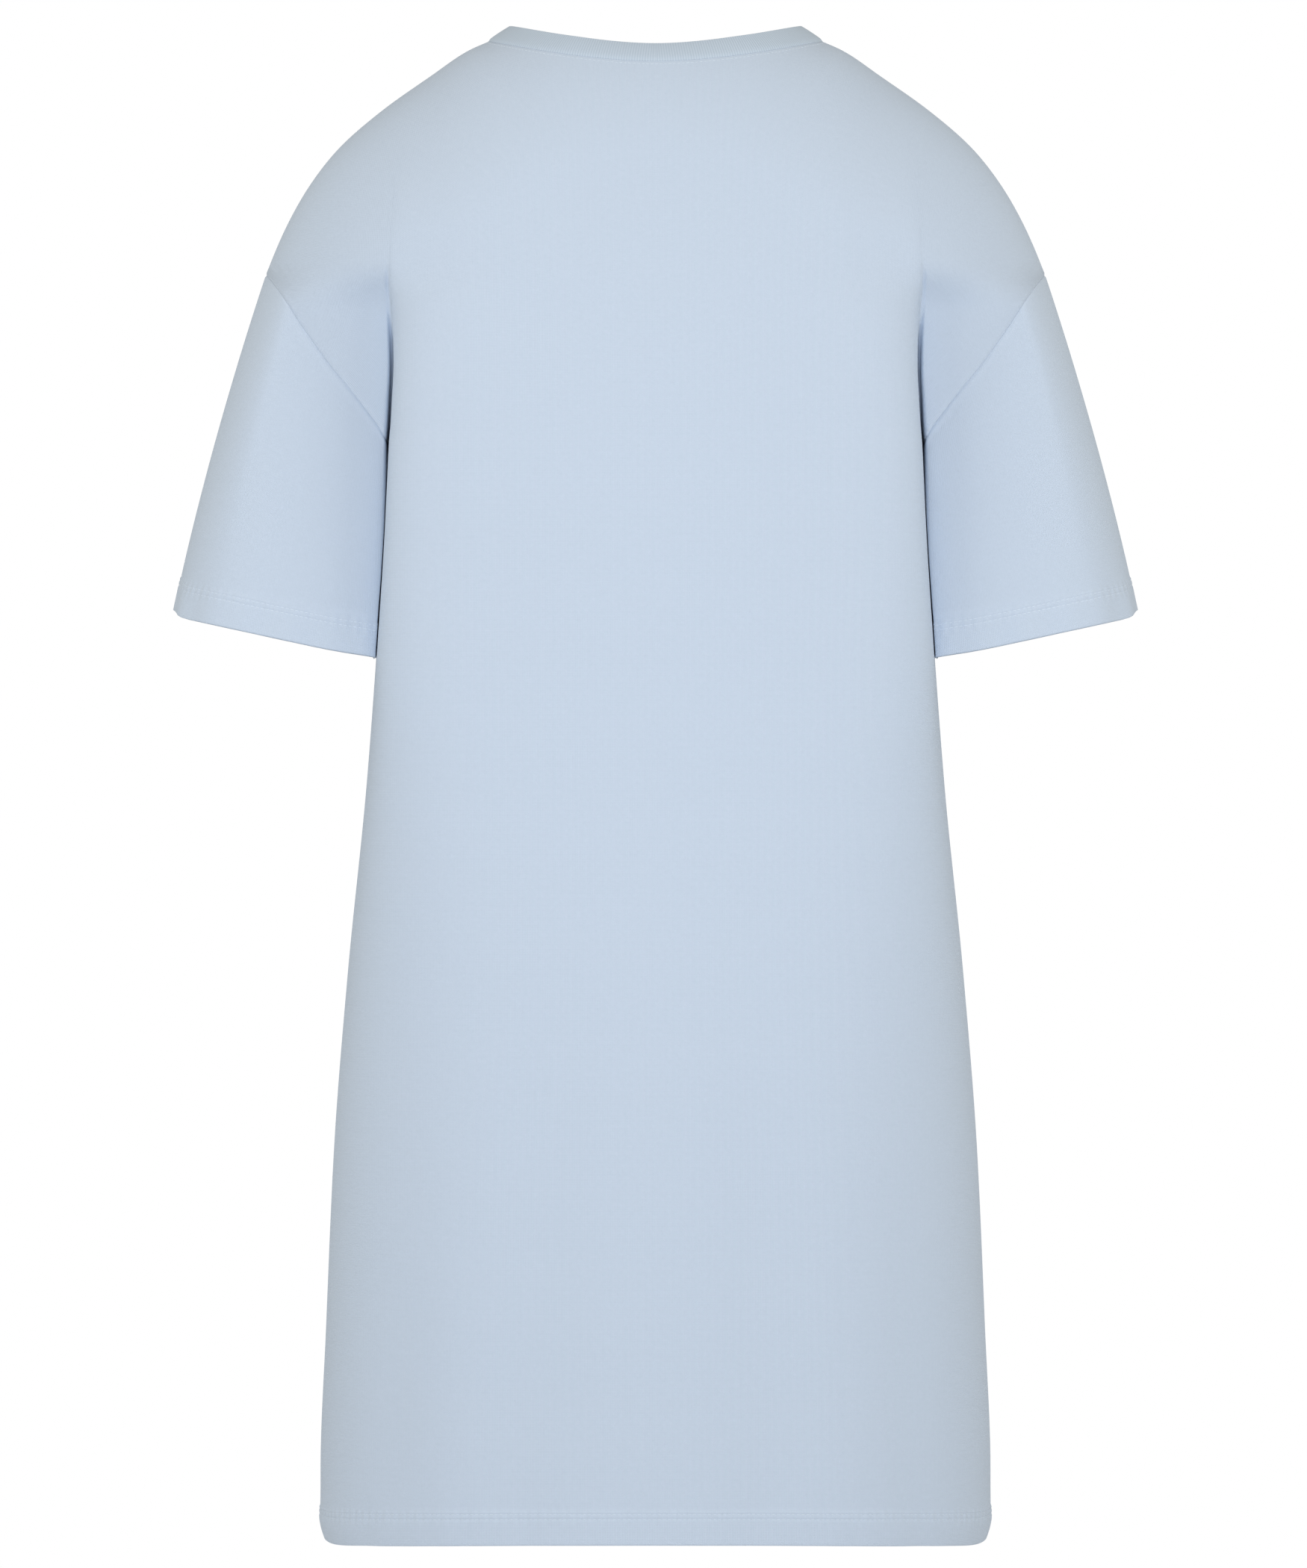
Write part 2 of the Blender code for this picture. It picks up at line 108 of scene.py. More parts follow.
def section_point(turn: Array, square: Array) -> tuple[Array, Array]:
    """Finds the point of a unit superellipse in a direction.

    Args:
        turn: Angle from the middle of the face, in radians.
        square: How square the section is; 2 is an ellipse.

    Returns:
        The point's share of the half width, and its share of the depth.
    """
    reach = (np.abs(np.sin(turn)) ** square + np.abs(np.cos(turn)) ** square) ** (-1 / square)
    return reach * np.sin(turn), reach * np.cos(turn)


def smooth(knots: list[float], values: list[float], at: Array) -> Array:
    """Reads a smooth curve through a table's rows that never overshoots them.

    Args:
        knots: Where the rows are, all rising or all falling.
        values: The rows' values.
        at: Where to read the curve.

    Returns:
        The curve's values, held level past both ends.
    """
    x, y = np.asarray(knots, float), np.asarray(values, float)
    if x[0] > x[-1]:
        x, y = x[::-1], y[::-1]
    steps = np.diff(x)
    slopes = np.diff(y) / steps
    same_way = slopes[1:] * slopes[:-1] > 0
    total = np.where(same_way, slopes[1:] + slopes[:-1], 1.0)
    inner = np.where(same_way, 2 * slopes[1:] * slopes[:-1] / total, 0.0)
    tangents = np.concatenate([slopes[:1], inner, slopes[-1:]])
    at = np.clip(at, x[0], x[-1])
    i = np.clip(np.searchsorted(x, at) - 1, 0, len(steps) - 1)
    t = (at - x[i]) / steps[i]
    return (
        (2 * t**3 - 3 * t**2 + 1) * y[i]
        + (t**3 - 2 * t**2 + t) * steps[i] * tangents[i]
        + (3 * t**2 - 2 * t**3) * y[i + 1]
        + (t**3 - t**2) * steps[i] * tangents[i + 1]
    )


def unit(vectors: Array) -> Array:
    """Returns vectors scaled to a length of 1."""
    return vectors / np.maximum(np.linalg.norm(vectors, axis=-1, keepdims=True), 1e-12)


def run_along(points: Array, axis: int) -> Array:
    """Measures along a surface.

    Args:
        points: A line or grid of points.
        axis: The axis to measure along.

    Returns:
        Each point's distance from the first one.
    """
    steps = np.linalg.norm(np.diff(points, axis=axis), axis=-1)
    start = np.zeros_like(np.take(steps, [0], axis=axis))
    return np.concatenate([start, np.cumsum(steps, axis=axis)], axis=axis)


class Section(NamedTuple):
    """One level section of the body: its half width and depths, how square it is and its crown."""

    height: float
    half_width: float
    back: float
    front: float
    square: float
    crown: float


class ChestLevel(NamedTuple):
    """How far the middle of the back and of the front lie from the shoulder line."""

    height: float
    back: float
    front: float


class Outline(NamedTuple):
    """A point of the shoulder line and the sleeve's outer line, seen from behind."""

    half_width: float
    height: float
    round_over: float


class Seam(NamedTuple):
    """A point of the armhole seam, seen from behind."""

    half_width: float
    height: float


class FoldStation(NamedTuple):
    """The underarm fold: the body's edge along it, its width and what depth its bottom keeps."""

    height: float
    half_width: float
    opening: float
    left: float
    square: float
    crown: float


class Drape(NamedTuple):
    """A soft upright trough in the hanging cloth, deepest at the hem."""

    face: Face
    top_x: float
    hem_x: float
    top_height: float
    full_height: float
    depth: float
    half_width: float


class Wave(NamedTuple):
    """One of the waves in a hem: its length for each radian, its start and its strength."""

    radian: float
    start: float
    strength: float


def ripples(waves: tuple[Wave, ...], at: Array) -> Array:
    """Returns the sum of some waves at distances along a hem."""
    return sum(wave.strength * np.sin(at / wave.radian + wave.start) for wave in waves)


def read_column(table: tuple, name: str, at: Array) -> Array:
    """Returns a smooth curve through one column of a table, read at heights."""
    return smooth([row.height for row in table], [getattr(row, name) for row in table], at)


def read_line(line: Array, run: Array, at: Array) -> Array:
    """Returns points of a line at distances along it."""
    return np.stack([np.interp(at, run, values) for values in line.T], -1)


def placed(side: Side, face: Face, x: Array, y: Array, z: Array) -> Array:
    """Returns points of one side and face, from how far out, how deep and how high they lie."""
    return np.stack([side.value * x, face.value * (y + SEAM_GAP / 2), z], -1)


def with_uv(points: Array, u: Array, v: Array) -> Array:
    """Returns a grid of points with the cloth's own u and v after x, y and z."""
    return np.concatenate([points, u[..., None], np.broadcast_to(v, u.shape)[..., None]], -1)


def curve_through(table: tuple, at: Array, *names: str) -> list[Array]:
    """Reads columns of a table of points by the share of their straight-line length.

    Args:
        table: Rows with half_width and height.
        at: Shares of the length from the first row.
        names: Columns to read.

    Returns:
        One array for each name.
    """
    rows = np.array([(row.half_width, row.height) for row in table])
    run = run_along(rows, 0)
    return [smooth(run / run[-1], [getattr(row, name) for row in table], at) for name in names]


@dataclass(frozen=True)
class BodyForm:
    """The worn form of the nightshirt: that of its solids, with a squarer chest and finer folds."""

    neck_half_width: float = 0.1008
    back_neck_height: float = -0.0117
    front_neck_height: float = -0.0680
    back_neck_curve: float = 1.75
    front_neck_curve: float = 2.3
    underarm_height: float = -0.2420
    fold_top_height: float = -0.1330
    fold_edge_start: float = 0.028
    fold_softness: float = 0.003
    arm_depth: float = 0.0600
    body_reach: float = 0.1666
    body_fall: float = 3.5
    cap_inner_round: float = 0.003
    cap_inner_square: float = 2.5
    underarm_round: float = 0.003
    deepest_edge: float = 0.75
    column_shift: float = 0.85
    most_shift_power: float = 6.0
    hem_lift_at_side: float = 0.0030
    hem_lift_at_back: float = 0.0025
    hem_lift_rise: float = 6.0
    hem_lift_narrowness: float = 60.0
    ridge_samples: int = 300
    knot_smoothing: float = 0.024
    knot_samples: int = 7
    opening_share: float = 0.15
    torso: tuple[Section, ...] = (
        Section(-0.9032, 0.1985, 0.1350, 0.1400, 2.30, 0.00),
        Section(-0.8960, 0.2007, 0.1349, 0.1399, 2.30, 0.00),
        Section(-0.8890, 0.2018, 0.1348, 0.1398, 2.30, 0.00),
        Section(-0.8600, 0.2018, 0.1344, 0.1394, 2.30, 0.00),
        Section(-0.7740, 0.1985, 0.1330, 0.1382, 2.35, 0.00),
        Section(-0.6660, 0.1937, 0.1300, 0.1368, 2.55, 0.02),
        Section(-0.5580, 0.1852, 0.1255, 0.1352, 3.20, 0.08),
        Section(-0.4500, 0.1742, 0.1205, 0.1338, 4.80, 0.14),
        Section(-0.3694, 0.1678, 0.1187, 0.1334, 8.00, 0.18),
        Section(-0.3000, 0.1630, 0.1181, 0.1331, 11.00, 0.20),
        Section(-0.2420, 0.1602, 0.1170, 0.1312, 12.00, 0.20),
    )
    chest: tuple[ChestLevel, ...] = (
        ChestLevel(-0.1900, 0.1138, 0.1250),
        ChestLevel(-0.1400, 0.1070, 0.1145),
        ChestLevel(-0.0900, 0.0965, 0.1005),
        ChestLevel(-0.0400, 0.0845, 0.0870),
        ChestLevel(0.0300, 0.0760, 0.0780),
    )
    shoulder: tuple[Outline, ...] = (
        Outline(0.0000, 0.0265, 0.090),
        Outline(0.0600, 0.0180, 0.090),
        Outline(0.1008, 0.0018, 0.090),
        Outline(0.1134, -0.0039, 0.090),
        Outline(0.1352, -0.0187, 0.090),
        Outline(0.1658, -0.0405, 0.086),
        Outline(0.1913, -0.0630, 0.076),
        Outline(0.2088, -0.0855, 0.067),
        Outline(0.2216, -0.1080, 0.062),
        Outline(0.2315, -0.1305, 0.060),
        Outline(0.2435, -0.1643, 0.060),
        Outline(0.2563, -0.2093, 0.060),
        Outline(0.2761, -0.2768, 0.060),
        Outline(0.2902, -0.3350, 0.060),
    )
    armhole: tuple[Seam, ...] = (
        Seam(0.2346, -0.1386),
        Seam(0.2260, -0.1496),
        Seam(0.2118, -0.1712),
        Seam(0.1950, -0.1945),
        Seam(0.1830, -0.2090),
        Seam(0.1720, -0.2233),
        Seam(0.1650, -0.2330),
        Seam(0.1606, -0.2420),
    )
    underarm_fold: tuple[FoldStation, ...] = (
        FoldStation(-0.2420, 0.1602, 0.0017, 0.00, 12.0, 0.20),
        FoldStation(-0.2390, 0.1600, 0.0017, 0.30, 12.0, 0.20),
        FoldStation(-0.2300, 0.1592, 0.0019, 0.45, 12.0, 0.20),
        FoldStation(-0.2160, 0.1584, 0.0022, 0.53, 12.0, 0.19),
        FoldStation(-0.1930, 0.1574, 0.0026, 0.61, 11.0, 0.18),
        FoldStation(-0.1700, 0.1578, 0.0030, 0.71, 10.0, 0.17),
        FoldStation(-0.1500, 0.1590, 0.0034, 0.84, 9.0, 0.17),
        FoldStation(-0.1330, 0.1598, 0.0038, 1.00, 7.0, 0.17),
        FoldStation(-0.0900, 0.1590, 0.0042, 1.00, 6.0, 0.17),
        FoldStation(-0.0300, 0.1545, 0.0044, 1.00, 6.0, 0.17),
    )
    drapes: tuple[Drape, ...] = (
        Drape(Face.BACK, 0.052, 0.084, -0.470, -0.760, 0.0042, 0.030),
        Drape(Face.BACK, -0.046, -0.073, -0.450, -0.740, 0.0038, 0.028),
        Drape(Face.BACK, 0.150, 0.158, -0.620, -0.840, 0.0022, 0.017),
        Drape(Face.BACK, -0.146, -0.154, -0.600, -0.830, 0.0020, 0.016),
        Drape(Face.FRONT, 0.018, 0.008, -0.360, -0.760, 0.0050, 0.032),
        Drape(Face.FRONT, 0.098, 0.116, -0.330, -0.740, 0.0044, 0.028),
        Drape(Face.FRONT, -0.094, -0.108, -0.350, -0.780, 0.0048, 0.027),
    )

    def ridge(self) -> tuple[Array, Array]:
        """Draws the shoulder line on down the sleeve's outer line.

        Returns:
            Points along it, and the round-over at each.
        """
        x, z, round_over = curve_through(
            self.shoulder, np.linspace(0, 1, self.ridge_samples), "half_width", "height", "round_over"
        )
        return np.stack([x, z], -1), round_over

    def ridge_height(self, x: Array) -> Array:
        """Returns the height of the shoulder line at a distance from the middle."""
        line = self.ridge()[0]
        return np.interp(np.abs(x), line[:, 0], line[:, 1])

    def ridge_share(self, x: Array, z: Array) -> Array:
        """Measures how far points lie inside the shoulder line.

        Args:
            x: Distance from the middle, towards the wearer's left.
            z: Height.

        Returns:
            The distances as shares of the round-over.
        """
        line, round_over = self.ridge()
        points = np.stack([np.abs(x), z], -1)[..., None, :]
        starts, runs = line[:-1], np.diff(line, axis=0)
        along = ((points - starts) * runs).sum(-1) / (runs**2).sum(-1)
        feet = starts + np.clip(along, 0, 1)[..., None] * runs
        gaps = np.linalg.norm(points - feet, axis=-1)
        return gaps.min(-1) / round_over[gaps.argmin(-1)]

    def opening(self, z: Array) -> Array:
        """Returns the width of the underarm fold, narrower in cloth than between the solids."""
        return self.opening_share * read_column(self.underarm_fold, "opening", z)

    def section(self, name: str, z: Array) -> Array:
        """Returns a value of the torso's section, which is the fold's above the underarm."""
        above, below = read_column(self.underarm_fold, name, z), read_column(self.torso, name, z)
        return np.where(z > self.underarm_height, above, below)

    def crowned(self, share: Array, z: Array) -> Array:
        """Returns what share of its depth the torso keeps at a share of its half width."""
        return 1 - self.section("crown", z) * share**2

    def plateau(self, z: Array, face: Face) -> Array:
        """Reads how far the middle of a face stands out, with the table's knots smoothed.

        Args:
            z: Height.
            face: The back or the front.

        Returns:
            The depths.
        """
        table, name = self.torso + self.chest, face.name.lower()
        spread = np.linspace(-self.knot_smoothing, self.knot_smoothing, self.knot_samples)
        return sum(read_column(table, name, np.asarray(z) + shift) for shift in spread) / len(spread)

    def open_depth(self, x: Array, z: Array, face: Face) -> Array:
        """Shapes the cloth over chest, shoulder and upper arm with no underarm fold.

        Args:
            x: Distance from the middle, towards the wearer's left.
            z: Height.
            face: The back or the front.

        Returns:
            The depths.
        """
        body = np.exp(-((np.abs(x) / self.body_reach) ** self.body_fall))
        flat = self.arm_depth + (self.plateau(z, face) - self.arm_depth) * body
        return flat * quarter_round(self.ridge_share(x, z))

    def drape(self, x: Array, z: Array, face: Face) -> Array:
        """Measures how far the soft troughs pull the cloth in.

        Args:
            x: Distance from the middle, towards the wearer's left.
            z: Height.
            face: The back or the front.

        Returns:
            The distances inwards.
        """
        total = np.zeros(np.broadcast(x, z).shape)
        for row in self.drapes:
            if row.face is not face:
                continue
            grown = ease((row.top_height - z) / (row.top_height - row.full_height))
            down = np.clip((row.top_height - z) / (row.top_height - self.torso[0].height), 0, 1)
            middle = row.top_x + (row.hem_x - row.top_x) * down
            total += row.depth * grown * np.exp(-(((x - middle) / row.half_width) ** 2))
        return total

    def fold_started(self, z: Array) -> Array:
        """Returns 0 above the fold's top, and 1 from where the cloth stands clear of it."""
        return ease((self.fold_top_height - z) / self.fold_edge_start)

    def above_fold(self, standing: Array, z: Array, open_cloth: Array) -> Array:
        """Joins cloth that stands clear of the fold with the cloth at the fold's bottom.

        Args:
            standing: Depth of the cloth beside the fold.
            z: Height.
            open_cloth: Depth that the cloth would have with no fold.

        Returns:
            The depth of the cloth.
        """
        left = read_column(self.underarm_fold, "left", z)
        high = open_cloth + (standing - open_cloth) * self.fold_started(z)
        low = left * open_cloth
        return (high + low + np.hypot(high - low, self.fold_softness * arch(left))) / 2

    def drawn_in(self, turns: Array, last: Array) -> Array:
        """Brings the outermost column to another turn, and moves the columns inside it little.

        Args:
            turns: Turns of the columns, ending a quarter turn from the middle.
            last: Where the outermost column goes, for each row.

        Returns:
            The columns' new turns.
        """
        cut = 1 - last / turns[-1]
        power = self.column_shift / np.maximum(cut, self.column_shift / self.most_shift_power)
        return turns * (1 - cut * (turns / turns[-1]) ** (np.clip(power, 1, None) - 1))

    def cap_depth(self, x: Array, z: Array, face: Face) -> Array:
        """Shapes the dropped shoulder, between the fold and the armhole seam.

        Args:
            x: Distance from the middle, towards the wearer's left.
            z: Height.
            face: The back or the front.

        Returns:
            The depths.
        """
        from_fold = np.abs(x) - self.section("half_width", z) - self.opening(z)
        from_underarm = np.hypot(np.abs(x) - self.armhole[-1].half_width, z - self.underarm_height)
        inner = superellipse(1 - np.clip(from_fold / self.cap_inner_round, 0, 1), self.cap_inner_square)
        standing = self.arm_depth * inner * quarter_round(from_underarm / self.underarm_round)
        return self.above_fold(standing, z, self.open_depth(x, z, face))

    def neck_height(self, x: Array, face: Face) -> Array:
        """Draws the seam that joins the neckband to a face.

        Args:
            x: Distance from the middle, towards the wearer's left.
            face: The back or the front.

        Returns:
            The seam's heights.
        """
        low, curve = self.front_neck_height, self.front_neck_curve
        if face is Face.BACK:
            low, curve = self.back_neck_height, self.back_neck_curve
        share = np.clip(np.abs(x) / self.neck_half_width, 0, 1)
        return low + (self.ridge_height(self.neck_half_width) - low) * share**curve

    def hem_height(self, x: Array, z: Array, face: Face) -> Array:
        """Lifts the hem a little at the side seams and over the middle of the back.

        Args:
            x: Distance from the middle, towards the wearer's left.
            z: Height.
            face: The back or the front.

        Returns:
            The new heights.
        """
        hem = self.torso[0].height
        down = np.clip((z - self.underarm_height) / (hem - self.underarm_height), 0, 1)
        share = np.abs(x) / self.section("half_width", z)
        middle = self.hem_lift_at_back * (1 - share**2) if face is Face.BACK else 0.0
        return z + down**self.hem_lift_rise * (self.hem_lift_at_side * share**self.hem_lift_narrowness + middle)


@dataclass(frozen=True)
class HemProfile:
    """A hem turned up inside and held by two rows of needle stitches."""

    depth: float = 0.0207
    fold_radius: float = 0.0008
    fold_rows: int = 7
    needle_rows: tuple[float, float] = (0.0160, 0.0191)
    needle_dip: float = 0.00030
    needle_half_width: float = 0.0007
    stands_out: float = 0.0006
    step_width: float = 0.0016
    above: float = 0.0262
    hidden_rows: tuple[float, ...] = (0.0178, 0.0140, 0.0090, 0.0045, 0.0020)
    outside_rows: tuple[float, ...] = (0.0018, 0.0034, 0.0060, 0.0090, 0.0120)
    rows_round_needle: tuple[float, ...] = (-0.0016, -0.0009, -0.00045, 0.0, 0.00045, 0.0009)
    row_above_step: float = 0.0236

    def rows(self) -> tuple[Array, Array]:
        """Lays out the rows of cloth from the hem's hidden edge, round its fold and up outside.

        Returns:
            Each row's height above the hem's lowest line, and how far inside the surface it lies.
        """
        radius = self.fold_radius
        hidden = np.array([self.depth, *self.hidden_rows])
        turn = np.linspace(0, math.pi, self.fold_rows)
        stitched = [row + np.array(self.rows_round_needle) for row in self.needle_rows]
        top = [self.depth, self.depth + self.step_width / 2, self.row_above_step, self.above]
        outside = np.concatenate([self.outside_rows, *stitched, top])
        up = np.concatenate([hidden, radius * (1 - np.sin(turn)), outside])
        inside = np.concatenate([0 * hidden + 2 * radius, radius * (1 + np.cos(turn)), 0 * outside])
        proud = self.stands_out * ease((self.depth + self.step_width / 2 - up) / self.step_width)
        dips = sum(np.exp(-(((up - row) / self.needle_half_width) ** 2)) for row in self.needle_rows)
        return up, inside - proud + np.where(inside > 0, 0, self.needle_dip * dips)

    def row_at(self, height: float) -> int:
        """Returns which row of cloth lies outside at a height."""
        up, inside = self.rows()
        return int(np.argmin(np.abs(up - height) + (inside > 0)))


@dataclass(frozen=True)
class SeamFinish:
    """How a cloth edge sinks in at a seam, with its allowance turned inside."""

    depth: float = 0.0007
    width: float = 0.0011
    allowance: tuple[float, ...] = (0.0004, 0.0014, 0.0045)
    share_in_hem: float = 0.2

    def finish_last_column(self, points: Array, inward: Array, strength: Array, reach: Array) -> Array:
        """Sinks the cloth towards its last column and adds the turned-in allowance.

        Args:
            points: Rows and columns of points, and any more values after x, y and z.
            inward: The way into the garment at each row's edge.
            strength: How deep each row sinks, from 0 to 1.
            reach: How much of the allowance each row has, from 0 to 1.

        Returns:
            The grid with its allowance's columns added.
        """
        place = points[..., :3]
        run = run_along(place, 1)
        sunk = self.depth * np.exp(-(((run[:, -1:] - run) / self.width) ** 2)) * strength[:, None]
        made = points.copy()
        made[..., :3] += inward[:, None] * sunk[..., None]
        turned = []
        for depth in self.allowance:
            column = made[:, -1].copy()
            column[:, :3] += inward * (depth * reach)[:, None]
            turned.append(column)
        return np.concatenate([made, np.stack(turned, 1)], axis=1)


def swapped(points: Array) -> Array:
    """Returns a grid with its rows as columns."""
    return np.swapaxes(points, 0, 1)


def deselect_all() -> None:
    """Leaves nothing selected."""
    bpy.ops.object.select_all(action="DESELECT")


def select_only(piece: bpy.types.Object) -> None:
    """Selects one object and makes it the active one.

    Args:
        piece: The object.
    """
    deselect_all()
    piece.select_set(True)
    bpy.context.view_layer.objects.active = piece


def grid_of_cloth(name: str, grid: Array) -> bpy.types.Object:
    """Adds a grid of faces and places its corners.

    Args:
        name: The object's name.
        grid: Rows and columns of x, y, z and the cloth's own u and v, all in metres.

    Returns:
        The new object, with its UV map in metres of cloth.
    """
    rows, columns = grid.shape[:2]
    deselect_all()
    bpy.ops.mesh.primitive_grid_add(x_subdivisions=columns - 1, y_subdivisions=rows - 1, size=1)
    piece = bpy.context.object
    piece.name = piece.data.name = name
    mesh = piece.data
    mesh.vertices.foreach_set("co", np.ascontiguousarray(grid[..., :3], np.float32).ravel())
    corners = np.empty(len(mesh.loops), np.int32)
    mesh.loops.foreach_get("vertex_index", corners)
    layer = mesh.uv_layers[0]
    layer.name = UV_NAME
    layer.data.foreach_set("uv", grid[..., 3:5].reshape(-1, 2)[corners].astype(np.float32).ravel())
    mesh.update()
    return piece


def joined(name: str, parts: list[bpy.types.Object]) -> bpy.types.Object:
    """Joins cloth that is cut in one piece, and welds it where its edges meet.

    Args:
        name: The piece's name.
        parts: The objects to join.

    Returns:
        The piece.
    """
    deselect_all()
    for part in parts:
        part.select_set(True)
    bpy.context.view_layer.objects.active = parts[0]
    bpy.ops.object.join()
    piece = bpy.context.object
    piece.name = piece.data.name = name
    bpy.ops.object.mode_set(mode="EDIT")
    bpy.ops.mesh.select_all(action="SELECT")
    bpy.ops.mesh.remove_doubles(threshold=WELD)
    bpy.ops.object.mode_set(mode="OBJECT")
    return piece


def thicken(piece: bpy.types.Object, wall: float) -> None:
    """Gives an open surface of cloth its thickness, inwards.

    Args:
        piece: The surface.
        wall: The cloth's thickness.
    """
    select_only(piece)
    cloth = piece.modifiers.new("cloth thickness", "SOLIDIFY")
    cloth.thickness = wall
    cloth.offset = -1
    bpy.ops.object.modifier_apply(modifier=cloth.name)
    bpy.ops.object.shade_smooth()


def dress(piece: bpy.types.Object, finish: bpy.types.Material, slot: Slot, *nodes: str) -> None:
    """Gives a piece its finish, rides it on the body and lets it stand for its solids.

    Args:
        piece: The piece.
        finish: Its material.
        slot: The record's slot for it; not used.
        nodes: The solids that it stands for.
    """
    piece.data.materials.clear()
    piece.data.materials.append(finish)
    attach(piece, BODY)
    if nodes:
        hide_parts(*nodes)


@dataclass(frozen=True)
class ClothGrid:
    """How finely the cloth is divided, counted on the columns and rows of the solids."""

    section_turns: tuple[float, ...] = (
        0, 6.5, 13, 19.5, 26, 32, 37, 41, 44, 47, 50.5, 55, 61, 69.5, 79.5, 90,
    )
    neck_columns: int = 8
    column_step: float = 0.25
    seam_columns: tuple[float, ...] = (14.88, 14.93, 14.965, 14.985)
    upper_rows: int = 54
    row_crowding_top: float = 1.25
    row_crowding_bottom: float = 1.7
    top_drops: tuple[float, ...] = (
        0, 3e-6, 2e-5, 7e-5, 2e-4, 5e-4, 0.001, 0.002, 0.0036, 0.006, 0.009,
    )
    # The next drop is at least this many times the last of top_drops.
    least_next_drop: float = 1.3
    underarm_support: float = 0.992
    lower_rows: int = 104

    def columns(self) -> Array:
        """Lays out the columns, closer together at the side seam.

        Returns:
            Their places, counted in columns of the solid from the middle.
        """
        last = len(self.section_turns) - 1
        even = np.arange(0, last + self.column_step / 2, self.column_step)
        return np.unique(np.concatenate([even, self.seam_columns]))

    def turns(self) -> Array:
        """Returns each column's turn from the middle of its face, in radians."""
        return np.radians(np.interp(self.columns(), np.arange(len(self.section_turns)), self.section_turns))

    def drops(self) -> Array:
        """Lays out the rows from the shoulder line to the underarm, close together at both ends.

        Returns:
            Each row's share of the way down.
        """
        steps = (np.arange(1, self.upper_rows) / self.upper_rows) ** self.row_crowding_bottom
        between = 1 - (1 - steps) ** self.row_crowding_top
        between = between[(between > self.least_next_drop * self.top_drops[-1]) & (between < self.underarm_support)]
        return np.concatenate([self.top_drops, between, [self.underarm_support, 1]])


